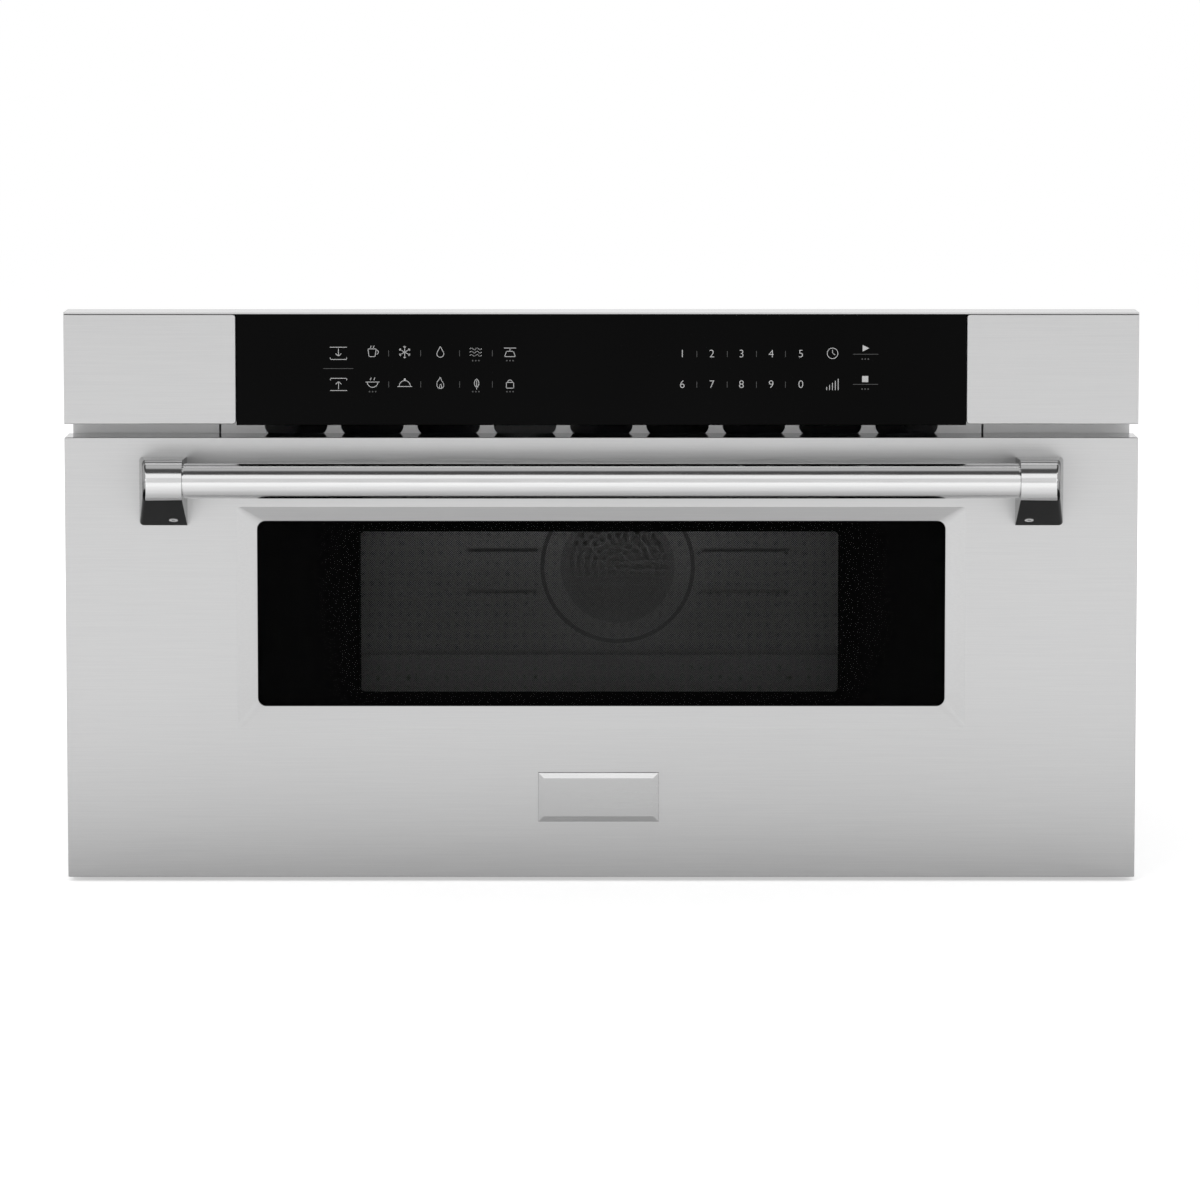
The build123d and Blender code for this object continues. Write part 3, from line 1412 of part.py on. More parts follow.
with BuildPart() as handle_screws:
    head_back = front_face + panel_sheet + screw_head_height
    with BuildSketch(facing_front(head_back)) as screw_heads:
        with Locations(*handle_screw_places):
            Circle(screw_head_radius)
    extrude(amount=screw_head_height)
    with BuildSketch(facing_front(head_back)) as screw_sockets:
        with Locations(*handle_screw_places):
            RegularPolygon(2.3, 6)
    extrude(amount=screw_head_height / 2, mode=Mode.SUBTRACT)
    with BuildSketch(facing_front(front_face + panel_sheet)) as screw_shanks:
        with Locations(*handle_screw_places):
            Circle(handle_screw_radius)
    extrude(amount=panel_sheet + handle_screw_length - 1)
    for sign in (-1, 1):
        set_screw_plane = Plane(
            origin=(sign * (bracket_inner + set_screw_edge), set_screw_y, set_screw_z),
            x_dir=(1, 0, 0),
            z_dir=(0, slope_normal[0], slope_normal[1]),
        )
        with BuildSketch(set_screw_plane.offset(set_screw_proud)) as set_screw:
            Circle(set_screw_radius)
        extrude(amount=-set_screw_length)
        with BuildSketch(set_screw_plane.offset(set_screw_proud)) as set_screw_hex:
            RegularPolygon(set_screw_hex_radius, 6)
        extrude(amount=-set_screw_length / 2, mode=Mode.SUBTRACT)
handle_screws.part.label = "handle_screws"
export_step(handle_screws.part, "parts/handle_screws.step")

# ---- Tub ---------------------------------------------------------------------------------------


def tub_outline(grow):
    """Draw the tub's cross-section, square at the top and rounded at the floor."""
    half = tub_half + grow
    low = tub_floor - grow
    radius = tub_corner_radius + grow
    with BuildLine() as outline:
        FilletPolyline(
            (-half, tub_rim_z), (-half, low), (half, low), (half, tub_rim_z), radius=radius
        )
        Line((half, tub_rim_z), (-half, tub_rim_z))
    make_face(outline.edges())


round_vent = (round_vent_x, tub_floor + round_vent_rise)
vent_panel_x = (vent_panel_left + vent_panel_right) / 2
vent_panel_z = tub_floor + vent_panel_rise + vent_panel_height / 2
side_slots = (
    (vent_panel_left + left_slot_length / 2, left_slot_length),
    (vent_panel_right - right_slot_length / 2, right_slot_length),
)

with BuildPart() as drawer_tub:
    with BuildSketch(facing_front(tub_rear + tub_wall)) as tub_outer:
        tub_outline(tub_wall)
    extrude(amount=tub_rear + tub_wall - drawer_rear)
    with BuildSketch(facing_front(tub_rear)) as tub_inner:
        tub_outline(0)
    extrude(amount=tub_rear - drawer_rear, mode=Mode.SUBTRACT)
    with BuildSketch(Plane.XY.offset(tub_rim_z)) as rim_outline:
        with Locations((0, (drawer_rear + tub_rear + tub_rim) / 2)):
            Rectangle(2 * (tub_half + tub_rim), tub_rear + tub_rim - drawer_rear)
        with Locations((0, (drawer_rear + tub_rear) / 2)):
            Rectangle(tub_width, tub_depth, mode=Mode.SUBTRACT)
    extrude(amount=-tub_wall)
    with BuildSketch(facing_front(drawer_rear + tub_wall)) as flange_outline:
        with Locations((0, (tub_floor - cavity_floor_clearance + tub_rim_z) / 2)):
            Rectangle(
                2 * (tub_half + tub_flange),
                tub_rim_z - tub_floor + cavity_floor_clearance,
            )
    extrude(amount=tub_wall)
    with BuildSketch(facing_front(drawer_rear + tub_wall)) as flange_opening:
        tub_outline(0)
    extrude(amount=tub_wall, mode=Mode.SUBTRACT)
    with BuildSketch(facing_front(tub_rear)) as vent_panel:
        with Locations((vent_panel_x, vent_panel_z)):
            RectangleRounded(vent_panel_right - vent_panel_left, vent_panel_height, vent_panel_corner)
    extrude(amount=vent_panel_proud)
    with BuildSketch(facing_front(tub_rear)) as vent_ring:
        with Locations(round_vent):
            Circle(round_vent_radius)
            Circle(round_vent_radius - round_vent_border, mode=Mode.SUBTRACT)
    extrude(amount=round_vent_proud)
    with BuildSketch(facing_front(tub_rear - 2 * round_vent_proud)) as rear_vents:
        with Locations(round_vent):
            Circle(vent_hole_radius)
            for ring in range(1, vent_ring_count + 1):
                with PolarLocations(ring * vent_hole_pitch, 6 * ring):
                    Circle(vent_hole_radius)
        for slot_x, slot_length in side_slots:
            with Locations((slot_x, tub_floor + side_slot_rise)):
                with GridLocations(1, side_slot_pitch, 1, 2):
                    SlotOverall(slot_length, side_slot_height)
    extrude(amount=-2 * (round_vent_proud + tub_wall), mode=Mode.SUBTRACT)
drawer_tub.part.label = "drawer_tub"
export_step(drawer_tub.part, "parts/drawer_tub.step")

floor_plate_margin = 13.0
floor_plate_thickness = 5.0
with BuildPart() as floor_plate:
    with BuildSketch(Plane.XY.offset(tub_floor)) as floor_outline:
        with Locations((0, (drawer_rear + tub_rear) / 2)):
            RectangleRounded(
                tub_width - 2 * floor_plate_margin,
                tub_depth - 2 * floor_plate_margin,
                15,
            )
    extrude(amount=floor_plate_thickness)
    fillet(floor_plate.faces().sort_by(Axis.Z)[-1].edges(), 1)
floor_plate.part.label = "floor_plate"
export_step(floor_plate.part, "parts/floor_plate.step")

with BuildPart() as latch_hooks:
    for sign in (-1, 1):
        latch_near = sign * latch_x - latch_plate / 2
        with BuildSketch(Plane.YZ.offset(latch_near)) as hook_outline:
            with Locations((drawer_rear + latch_length / 2, latch_z)):
                Rectangle(latch_length, latch_height)
            with Locations((drawer_rear + latch_length - 8, latch_z + latch_height / 2)):
                Rectangle(7, 10, mode=Mode.SUBTRACT)
        extrude(amount=latch_plate)
        block(
            (sign * latch_x - 12, sign * latch_x + 12),
            (drawer_rear, drawer_rear + 1.2),
            (latch_z - latch_height / 2 - 6, latch_z + latch_height / 2 + 6),
        )
latch_hooks.part.label = "latch_hooks"
export_step(latch_hooks.part, "parts/latch_hooks.step")

# ---- Chassis screws ----------------------------------------------------------------------------
with BuildPart() as chassis_screws:
    for sign in (-1, 1):
        for grip, radius, length in (
            (half_chassis + chassis_screw_height, chassis_screw_head, chassis_screw_height),
            (half_chassis, chassis_screw_radius, chassis_screw_length),
        ):
            with BuildSketch(Plane.YZ.offset(sign * grip)) as side_screws:
                with Locations(*side_screw_places):
                    Circle(radius)
            extrude(amount=-sign * length)
    for grip, radius, length in (
        (chassis_rear + chassis_screw_height, chassis_screw_head, chassis_screw_height),
        (chassis_rear, chassis_screw_radius, chassis_screw_length),
    ):
        with BuildSketch(facing_front(grip)) as back_screws:
            with Locations(*back_screw_places):
                Circle(radius)
        extrude(amount=length)
chassis_screws.part.label = "chassis_screws"
export_step(chassis_screws.part, "parts/chassis_screws.step")
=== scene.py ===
import json
from math import atan, cos, pi, radians, sin

import bpy
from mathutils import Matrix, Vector


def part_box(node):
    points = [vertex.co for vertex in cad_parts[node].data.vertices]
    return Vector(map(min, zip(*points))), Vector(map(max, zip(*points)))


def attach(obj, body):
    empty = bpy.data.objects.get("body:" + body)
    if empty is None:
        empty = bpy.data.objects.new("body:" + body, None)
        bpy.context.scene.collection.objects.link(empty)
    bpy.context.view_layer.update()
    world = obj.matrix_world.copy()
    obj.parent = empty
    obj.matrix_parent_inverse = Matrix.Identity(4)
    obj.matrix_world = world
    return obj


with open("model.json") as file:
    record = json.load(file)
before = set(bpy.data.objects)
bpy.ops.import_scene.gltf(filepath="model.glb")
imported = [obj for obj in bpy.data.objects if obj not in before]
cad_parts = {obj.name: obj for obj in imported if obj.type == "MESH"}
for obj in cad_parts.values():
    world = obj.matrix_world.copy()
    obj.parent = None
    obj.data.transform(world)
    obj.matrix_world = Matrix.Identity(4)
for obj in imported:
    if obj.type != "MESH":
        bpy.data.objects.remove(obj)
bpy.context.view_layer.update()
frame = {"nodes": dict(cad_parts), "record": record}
nodes = frame["nodes"]

# ---- Sizes, in metres --------------------------------------------------------------------------
FRONT_WIDTH = 0.762
PHOTO_WIDTH_PX = 1070.7
PHOTO_CENTRE_PX = 601.3
PHOTO_TOP_PX = 312.5
METRES_PER_PX = FRONT_WIDTH / PHOTO_WIDTH_PX
IMAGE_PX = 1200

glass_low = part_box("control_glass")[0]
window_low, window_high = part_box("window_glass")
panel_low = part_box("drawer_panel")[0]
strip_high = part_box("panel_top_strip")[1]
FRONT_Y = panel_low.y
FRONT_TOP = strip_high.z


def photo_x(px):
    """The X of a column of the photograph, on the object's front."""
    return (px - PHOTO_CENTRE_PX) * METRES_PER_PX


def photo_z(px):
    """The Z of a row of the photograph, on the object's front."""
    return FRONT_TOP - (px - PHOTO_TOP_PX) * METRES_PER_PX


# ---- Node helpers for materials ----------------------------------------------------------------
def new_material(name):
    """An empty material and its Principled shader."""
    material = bpy.data.materials.new(name)
    material.use_nodes = True
    tree = material.node_tree
    tree.nodes.clear()
    output = tree.nodes.new("ShaderNodeOutputMaterial")
    shader = tree.nodes.new("ShaderNodeBsdfPrincipled")
    tree.links.new(shader.outputs["BSDF"], output.inputs["Surface"])
    return material, tree, shader


def object_coords(tree, scale=(1, 1, 1)):
    """Object coordinates in metres, stretched by scale."""
    coords = tree.nodes.new("ShaderNodeTexCoord")
    mapping = tree.nodes.new("ShaderNodeMapping")
    mapping.inputs["Scale"].default_value = scale
    tree.links.new(coords.outputs["Object"], mapping.inputs["Vector"])
    return mapping.outputs["Vector"]


def noise(tree, vector, scale, detail=3.0, rough=0.5):
    """A noise texture's factor."""
    texture = tree.nodes.new("ShaderNodeTexNoise")
    texture.inputs["Scale"].default_value = scale
    texture.inputs["Detail"].default_value = detail
    texture.inputs["Roughness"].default_value = rough
    tree.links.new(vector, texture.inputs["Vector"])
    return texture.outputs["Fac"]


def spread(tree, factor, low, high, from_low=0.3, from_high=0.7):
    """Map a factor to the range low to high."""
    node = tree.nodes.new("ShaderNodeMapRange")
    node.inputs["From Min"].default_value = from_low
    node.inputs["From Max"].default_value = from_high
    node.inputs["To Min"].default_value = low
    node.inputs["To Max"].default_value = high
    tree.links.new(factor, node.inputs["Value"])
    return node.outputs["Result"]


def tint(tree, factor, dark, light):
    """Mix two colours by a factor."""
    node = tree.nodes.new("ShaderNodeMix")
    node.data_type = "RGBA"
    node.inputs["A"].default_value = (*dark, 1)
    node.inputs["B"].default_value = (*light, 1)
    tree.links.new(factor, node.inputs["Factor"])
    return node.outputs["Result"]


def bump(tree, shader, height, strength, distance):
    """Drive a shader's normal from a height."""
    node = tree.nodes.new("ShaderNodeBump")
    node.inputs["Strength"].default_value = strength
    node.inputs["Distance"].default_value = distance
    tree.links.new(height, node.inputs["Height"])
    tree.links.new(node.outputs["Normal"], shader.inputs["Normal"])


def math_node(tree, operation, first, second=None, clamp=False):
    """A Math node's value from two inputs, each a number or another node's output."""
    node = tree.nodes.new("ShaderNodeMath")
    node.operation = operation
    node.use_clamp = clamp
    for index, value in enumerate((first, second)):
        if value is None:
            continue
        if isinstance(value, (int, float)):
            node.inputs[index].default_value = value
        else:
            tree.links.new(value, node.inputs[index])
    return node.outputs["Value"]


def step_up(tree, value, start, end):
    """A smooth rise from 0 at start to 1 at end."""
    node = tree.nodes.new("ShaderNodeMapRange")
    node.interpolation_type = "SMOOTHSTEP"
    node.inputs["From Min"].default_value = start
    node.inputs["From Max"].default_value = end
    tree.links.new(value, node.inputs["Value"])
    return node.outputs["Result"]


def object_axis(tree, axis):
    """One object coordinate, in metres."""
    coords = tree.nodes.new("ShaderNodeTexCoord")
    split = tree.nodes.new("ShaderNodeSeparateXYZ")
    tree.links.new(coords.outputs["Object"], split.inputs["Vector"])
    return split.outputs[axis]


def facing_axis(tree, axis):
    """One component of the surface's own normal."""
    geometry = tree.nodes.new("ShaderNodeNewGeometry")
    split = tree.nodes.new("ShaderNodeSeparateXYZ")
    tree.links.new(geometry.outputs["True Normal"], split.inputs["Vector"])
    return split.outputs[axis]


def shader_of(material):
    """A material's node tree and its Principled shader."""
    tree = material.node_tree
    return tree, next(node for node in tree.nodes if node.type == "BSDF_PRINCIPLED")


def overlay(material, mask, value, socket="Base Color"):
    """Lay a colour or a number over a linked socket where the mask is 1."""
    tree, shader = shader_of(material)
    mix = tree.nodes.new("ShaderNodeMix")
    mix.data_type = "FLOAT" if isinstance(value, float) else "RGBA"
    inputs = [item for item in mix.inputs if item.name in ("A", "B") and item.enabled]
    tree.links.new(shader.inputs[socket].links[0].from_socket, inputs[0])
    inputs[1].default_value = value if isinstance(value, float) else (*value, 1)
    tree.links.new(mask, mix.inputs["Factor"])
    result = next(item for item in mix.outputs if item.enabled)
    tree.links.new(result, shader.inputs[socket])


# ---- Materials ---------------------------------------------------------------------------------
def brushed_steel(name, grey, rough, grain, depth=0.00001, anisotropic=0.5, turn=0.0):
    """Steel with fine brush lines along X, and a slight cloudiness."""
    material, tree, shader = new_material(name)
    lines = noise(tree, object_coords(tree, grain), 1.0, 4.0, 0.6)
    clouds = noise(tree, object_coords(tree), 6.0, 2.0)
    light = tuple(channel * grey for channel in (1.02, 1.02, 1.02))
    dark = tuple(channel * grey for channel in (0.96, 0.96, 0.965))
    colour = tint(tree, spread(tree, lines, 0, 1), dark, light)
    tree.links.new(colour, shader.inputs["Base Color"])
    brushed = spread(tree, lines, rough - 0.04, rough + 0.04)
    clouded = spread(tree, clouds, -0.015, 0.015)
    tree.links.new(math_node(tree, "ADD", brushed, clouded), shader.inputs["Roughness"])
    shader.inputs["Metallic"].default_value = 1.0
    shader.inputs["Anisotropic"].default_value = anisotropic
    shader.inputs["Anisotropic Rotation"].default_value = turn
    bump(tree, shader, lines, 0.25, depth)
    return material


def plated_steel(name, grey, rough=0.42, spangle=90.0):
    """Zinc-coated sheet with its faint crystal pattern."""
    material, tree, shader = new_material(name)
    cells = tree.nodes.new("ShaderNodeTexVoronoi")
    cells.inputs["Scale"].default_value = spangle
    cells.inputs["Randomness"].default_value = 1.0
    tree.links.new(object_coords(tree), cells.inputs["Vector"])
    shade = tree.nodes.new("ShaderNodeSeparateColor")
    tree.links.new(cells.outputs["Color"], shade.inputs["Color"])
    clouds = noise(tree, object_coords(tree), 9.0, 3.0)
    mixed = tree.nodes.new("ShaderNodeMath")
    mixed.operation = "MULTIPLY_ADD"
    mixed.inputs[1].default_value = 0.6
    tree.links.new(shade.outputs["Red"], mixed.inputs[0])
    tree.links.new(spread(tree, clouds, 0.0, 0.4), mixed.inputs[2])
    light = (grey * 1.08, grey * 1.09, grey * 1.10)
    dark = (grey * 0.90, grey * 0.91, grey * 0.92)
    tree.links.new(tint(tree, mixed.outputs["Value"], dark, light), shader.inputs["Base Color"])
    roughness = spread(tree, mixed.outputs["Value"], rough - 0.07, rough + 0.07, 0, 1)
    tree.links.new(roughness, shader.inputs["Roughness"])
    shader.inputs["Metallic"].default_value = 0.85
    bump(tree, shader, mixed.outputs["Value"], 0.12, 0.00005)
    return material


def coated_metal(name, colour, rough, metallic=0.0, texture_scale=900.0, bump_depth=0.00003):
    """Paint or enamel with a faint orange-peel surface."""
    material, tree, shader = new_material(name)
    peel = noise(tree, object_coords(tree), texture_scale, 2.0)
    clouds = noise(tree, object_coords(tree), 7.0, 3.0)
    light = tuple(min(channel * 1.05, 1.0) for channel in colour)
    dark = tuple(channel * 0.94 for channel in colour)
    tree.links.new(tint(tree, spread(tree, clouds, 0, 1), dark, light), shader.inputs["Base Color"])
    tree.links.new(spread(tree, clouds, rough - 0.04, rough + 0.04), shader.inputs["Roughness"])
    shader.inputs["Metallic"].default_value = metallic
    bump(tree, shader, peel, 0.2, bump_depth)
    return material


def moulded_plastic(name, colour, rough):
    """Plastic with a fine moulded grain."""
    material, tree, shader = new_material(name)
    grain = noise(tree, object_coords(tree), 1600.0, 3.0)
    clouds = noise(tree, object_coords(tree), 20.0, 2.0)
    light = tuple(min(channel * 1.08, 1.0) for channel in colour)
    dark = tuple(channel * 0.92 for channel in colour)
    tree.links.new(tint(tree, spread(tree, clouds, 0, 1), dark, light), shader.inputs["Base Color"])
    tree.links.new(spread(tree, grain, rough - 0.05, rough + 0.06), shader.inputs["Roughness"])
    bump(tree, shader, grain, 0.3, 0.00004)
    return material


def black_glass(name, alpha=1.0, specular=0.05, level=0.0008):
    """Dark glass with the faintest smear in its gloss."""
    material, tree, shader = new_material(name)
    smears = noise(tree, object_coords(tree, (1, 1, 3)), 14.0, 4.0, 0.6)
    tree.links.new(spread(tree, smears, 0.03, 0.075), shader.inputs["Roughness"])
    clouds = noise(tree, object_coords(tree), 5.0, 2.0)
    dark = (level, level, level)
    light = (level * 2.2, level * 2.2, level * 2.3)
    tree.links.new(tint(tree, spread(tree, clouds, 0, 1), dark, light), shader.inputs["Base Color"])
    shader.inputs["Specular IOR Level"].default_value = specular
    shader.inputs["Alpha"].default_value = alpha
    return material


def perforated_sheet(name, colour, pitch, hole):
    """A sheet with staggered rows of round holes, open where the holes are."""
    material, tree, shader = new_material(name)
    colours = noise(tree, object_coords(tree), 12.0, 2.0)
    light = tuple(channel * 1.1 for channel in colour)
    tree.links.new(tint(tree, spread(tree, colours, 0, 1), colour, light), shader.inputs["Base Color"])
    shader.inputs["Roughness"].default_value = 0.55

    def lattice(shift):
        """Squared distance, in pitches, to the nearest point of a square lattice."""
        squares = []
        for axis in ("X", "Z"):
            pitches = math_node(tree, "DIVIDE", object_axis(tree, axis), pitch)
            place = math_node(tree, "ADD", pitches, shift)
            away = math_node(tree, "SUBTRACT", math_node(tree, "FRACT", place), 0.5)
            squares.append(math_node(tree, "MULTIPLY", away, away))
        return math_node(tree, "ADD", *squares)

    nearest = math_node(tree, "MINIMUM", lattice(0.0), lattice(0.5))
    solid = math_node(tree, "GREATER_THAN", nearest, (hole / pitch / 2) ** 2)
    tree.links.new(solid, shader.inputs["Alpha"])
    return material


def printed(name, grey, specular=0.2):
    """Ink printed on the glass, pale or black."""
    material, tree, shader = new_material(name)
    grain = noise(tree, object_coords(tree), 2500.0, 2.0)
    dark = (grey * 0.92, grey * 0.92, grey * 0.92)
    light = (grey, grey, grey)
    tree.links.new(tint(tree, spread(tree, grain, 0, 1), dark, light), shader.inputs["Base Color"])
    shader.inputs["Roughness"].default_value = 0.6
    shader.inputs["Specular IOR Level"].default_value = specular
    return material


FRONT_GRAIN = (18.0, 1500.0, 1500.0)
ROUND_GRAIN = (30.0, 900.0, 900.0)
materials = {
    "brushed_front": brushed_steel("brushed_front", 0.645, 0.34, FRONT_GRAIN),
    "handle_steel": brushed_steel("handle_steel", 0.84, 0.13, ROUND_GRAIN, anisotropic=0.2, turn=0.25),
    "badge_steel": brushed_steel("badge_steel", 0.57, 0.24, FRONT_GRAIN),
    "screw_steel": brushed_steel("screw_steel", 0.92, 0.30, (900.0, 900.0, 900.0), anisotropic=0.0),
    "control_glass": black_glass("control_glass"),
    "window_glass": black_glass("window_glass", alpha=0.2, specular=0.05),
    "screen_black": perforated_sheet("screen_black", (0.055, 0.055, 0.055), 0.0016, 0.0010),
    "galvanised": plated_steel("galvanised", 0.60),
    "front_strip": coated_metal("front_strip", (0.92, 0.92, 0.92), 0.36, metallic=0.4),
    "cavity_coat": coated_metal("cavity_coat", (0.46, 0.46, 0.45), 0.40),
    "tub_steel": brushed_steel("tub_steel", 0.60, 0.36, (20.0, 20.0, 1200.0)),
    "back_coat": coated_metal("back_coat", (0.36, 0.36, 0.36), 0.42),
    "choke_plastic": moulded_plastic("choke_plastic", (0.035, 0.035, 0.037), 0.55),
    "ceramic_floor": coated_metal("ceramic_floor", (0.74, 0.73, 0.70), 0.14, texture_scale=300.0),
    "rail_zinc": plated_steel("rail_zinc", 0.66, 0.34, 400.0),
    "gear_acetal": moulded_plastic("gear_acetal", (0.78, 0.77, 0.72), 0.42),
    "motor_steel": plated_steel("motor_steel", 0.55, 0.36, 300.0),
    "dark_plastic": moulded_plastic("dark_plastic", (0.045, 0.045, 0.048), 0.5),
    "board_green": moulded_plastic("board_green", (0.02, 0.13, 0.05), 0.35),
    "display_dark": black_glass("display_dark", specular=0.3),
    "fin_aluminium": brushed_steel("fin_aluminium", 0.78, 0.32, (400.0, 400.0, 400.0)),
    "core_iron": coated_metal("core_iron", (0.10, 0.08, 0.06), 0.5, texture_scale=500.0),
    "mica": coated_metal("mica", (0.52, 0.43, 0.30), 0.45, texture_scale=200.0),
    "lamp_holder": moulded_plastic("lamp_holder", (0.76, 0.74, 0.68), 0.45),
    "print_white": printed("print_white", 0.62),
    "print_dim": printed("print_dim", 0.11),
    "print_black": printed("print_black", 0.0008, 0.02),
}


def dress(node, material):
    """Give a CAD node its one material."""
    mesh = nodes[node].data
    mesh.materials.clear()
    mesh.materials.append(material)


for entry in frame["record"]["subparts"]:
    dress(entry["node"], materials[entry["material_slot"]])

# ---- Surfaces that differ within one piece -----------------------------------------------------
# Painted shade: the brackets' undersides are coloured near black and their sides grey, by the surface's own
# direction, standing in for the dark reflections these faces show.
UNDERSIDE_Z, ROUNDING_Z, SIDE_X = -0.86, -0.25, 0.25
bracket_steel_painted_shade = materials["handle_steel"].copy()
bracket_steel_painted_shade.name = "bracket_steel_painted_shade"
tree, bracket_shader = shader_of(bracket_steel_painted_shade)
bracket_shader.inputs["Specular Tint"].default_value = (0.6, 0.6, 0.6, 1)
side_shade_mask = math_node(tree, "GREATER_THAN", math_node(tree, "ABSOLUTE", facing_axis(tree, "X")), SIDE_X)
# Painted shade: grey on the brackets' sides.
overlay(bracket_steel_painted_shade, side_shade_mask, (0.30, 0.30, 0.30))
downwards = facing_axis(tree, "Z")
rounding_shade_mask = math_node(tree, "MULTIPLY", side_shade_mask, math_node(tree, "LESS_THAN", downwards, ROUNDING_Z))
below = math_node(tree, "LESS_THAN", downwards, UNDERSIDE_Z)
# Painted shade: near black on the undersides and on the lower rounding of the sides.
overlay(bracket_steel_painted_shade, math_node(tree, "MAXIMUM", below, rounding_shade_mask), (0.014, 0.014, 0.0145))
for side in ("left", "right"):
    dress(f"handle_bracket_{side}", bracket_steel_painted_shade)

# The top faces of the front's sheets are smoother than its brushed faces, and carry painted shade: a darker
# colour laid by the surface's direction, standing in for the dim reflection they show.
UPWARD_Z = 0.9
front_steel = materials["brushed_front"]
tree = front_steel.node_tree
smooth_top_and_shade_mask = math_node(tree, "GREATER_THAN", facing_axis(tree, "Z"), UPWARD_Z)
overlay(front_steel, smooth_top_and_shade_mask, 0.12, "Roughness")
# Painted shade: the darker colour on the top faces.
overlay(front_steel, smooth_top_and_shade_mask, (0.36, 0.36, 0.365))

# The badge plate's upper bevel is coloured near white, a painted highlight, and its top edge near black, a
# painted shadow line, both laid by the surface's direction.
PAINTED_HIGHLIGHT_Z, PAINTED_SHADOW_Z = 0.12, 0.55
badge_steel = materials["badge_steel"]
tree = badge_steel.node_tree
badge_rise = facing_axis(tree, "Z")
# Painted highlight on the upper bevel.
overlay(badge_steel, math_node(tree, "GREATER_THAN", badge_rise, PAINTED_HIGHLIGHT_Z), (0.98, 0.98, 0.98))
# Painted shadow line on the top edge.
overlay(badge_steel, math_node(tree, "GREATER_THAN", badge_rise, PAINTED_SHADOW_Z), (0.03, 0.03, 0.03))

# The tub's rear wall has a pressed ring round its perforated disc. The ring's creases are painted dark grey
# and the disc a darker grey, both painted shade.
RING_X, RING_Z, RING_RADIUS, RING_WIDTH, DISC_RADIUS = 0.013, 0.174, 0.0595, 0.0032, 0.045
REAR_WALL_DEPTH = 0.012
tub_steel = materials["tub_steel"]
tree = tub_steel.node_tree
tub_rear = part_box("drawer_tub")[1].y
rear_wall = math_node(tree, "GREATER_THAN", object_axis(tree, "Y"), tub_rear - REAR_WALL_DEPTH)
across = math_node(tree, "SUBTRACT", object_axis(tree, "X"), RING_X)
upright = math_node(tree, "SUBTRACT", object_axis(tree, "Z"), RING_Z)
squared = math_node(
    tree, "ADD", math_node(tree, "POWER", across, 2.0), math_node(tree, "POWER", upright, 2.0)
)
from_centre = math_node(tree, "SQRT", squared)
off_ring = math_node(tree, "ABSOLUTE", math_node(tree, "SUBTRACT", from_centre, RING_RADIUS))
ring_crease_shade = math_node(tree, "LESS_THAN", off_ring, RING_WIDTH / 2)
disc_shade = math_node(tree, "LESS_THAN", from_centre, DISC_RADIUS)
# Painted shade over the perforated disc.
overlay(tub_steel, math_node(tree, "MULTIPLY", disc_shade, rear_wall), (0.43, 0.43, 0.43))
# Painted shade in the ring's creases.
overlay(tub_steel, math_node(tree, "MULTIPLY", ring_crease_shade, rear_wall), (0.26, 0.26, 0.26))

# ---- Printed marks on the control glass --------------------------------------------------------
PRINT_LIFT = 0.00006
PRINT_Y = glass_low.y - PRINT_LIFT
STROKE = 0.00042
THIN_STROKE = STROKE * 0.8


def add_mesh(name, points, faces, material, body):
    """A new piece from points and faces, riding on a body."""
    mesh = bpy.data.meshes.new(name)
    mesh.from_pydata(points, [], faces)
    mesh.update()
    piece = bpy.data.objects.new(name, mesh)
    bpy.context.scene.collection.objects.link(piece)
    mesh.materials.append(material)
    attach(piece, body)
    return piece


class Print:
    """Flat ink shapes gathered into one mesh on an upright plane."""

    def __init__(self, y):
        self.y = y
        self.points = []
        self.faces = []

    def polygon(self, outline):
        """A filled shape, its corners anticlockwise as seen from the front."""
        first = len(self.points)
        self.points += [(x, self.y, z) for x, z in outline]
        self.faces.append(tuple(range(first, first + len(outline))))

    def line(self, start, end, width=STROKE):
        """A straight stroke."""
        (x0, z0), (x1, z1) = start, end
        along = Vector((x1 - x0, z1 - z0)).normalized() * width / 2
        side = Vector((-along.y, along.x))
        self.polygon(
            [
                (x0 - along.x - side.x, z0 - along.y - side.y),
                (x1 + along.x - side.x, z1 + along.y - side.y),
                (x1 + along.x + side.x, z1 + along.y + side.y),
                (x0 - along.x + side.x, z0 - along.y + side.y),
            ]
        )

    def path(self, corners, width=STROKE):
        """Strokes through a list of corners."""
        for start, end in zip(corners, corners[1:]):
            self.line(start, end, width)

    def arc(self, centre, radius, start, end, width=STROKE, steps=20):
        """A curved stroke, angles in degrees anticlockwise from +X."""
        ring = []
        for step in range(steps + 1):
            angle = radians(start + (end - start) * step / steps)
            ring.append((cos(angle), sin(angle)))
        for (c0, s0), (c1, s1) in zip(ring, ring[1:]):
            inner, outer = radius - width / 2, radius + width / 2
            self.polygon(
                [
                    (centre[0] + inner * c0, centre[1] + inner * s0),
                    (centre[0] + outer * c0, centre[1] + outer * s0),
                    (centre[0] + outer * c1, centre[1] + outer * s1),
                    (centre[0] + inner * c1, centre[1] + inner * s1),
                ]
            )

    def disc(self, centre, radius, steps=20):
        """A filled circle."""
        self.polygon(
            [
                (
                    centre[0] + radius * cos(2 * pi * step / steps),
                    centre[1] + radius * sin(2 * pi * step / steps),
                )
                for step in range(steps)
            ]
        )

    def piece(self, name, material, body, slot_name):
        """The gathered shapes as one piece."""
        return add_mesh(name, self.points, self.faces, material, body)


ink = Print(PRINT_Y)
dim_ink = Print(PRINT_Y)
# One unit of the icons' own drawings, and the corners of each icon in such units.
UNIT = 0.00145


def at(centre, *offsets):
    """Offsets in icon units turned into places round a centre."""
    return [(centre[0] + dx * UNIT, centre[1] + dz * UNIT) for dx, dz in offsets]


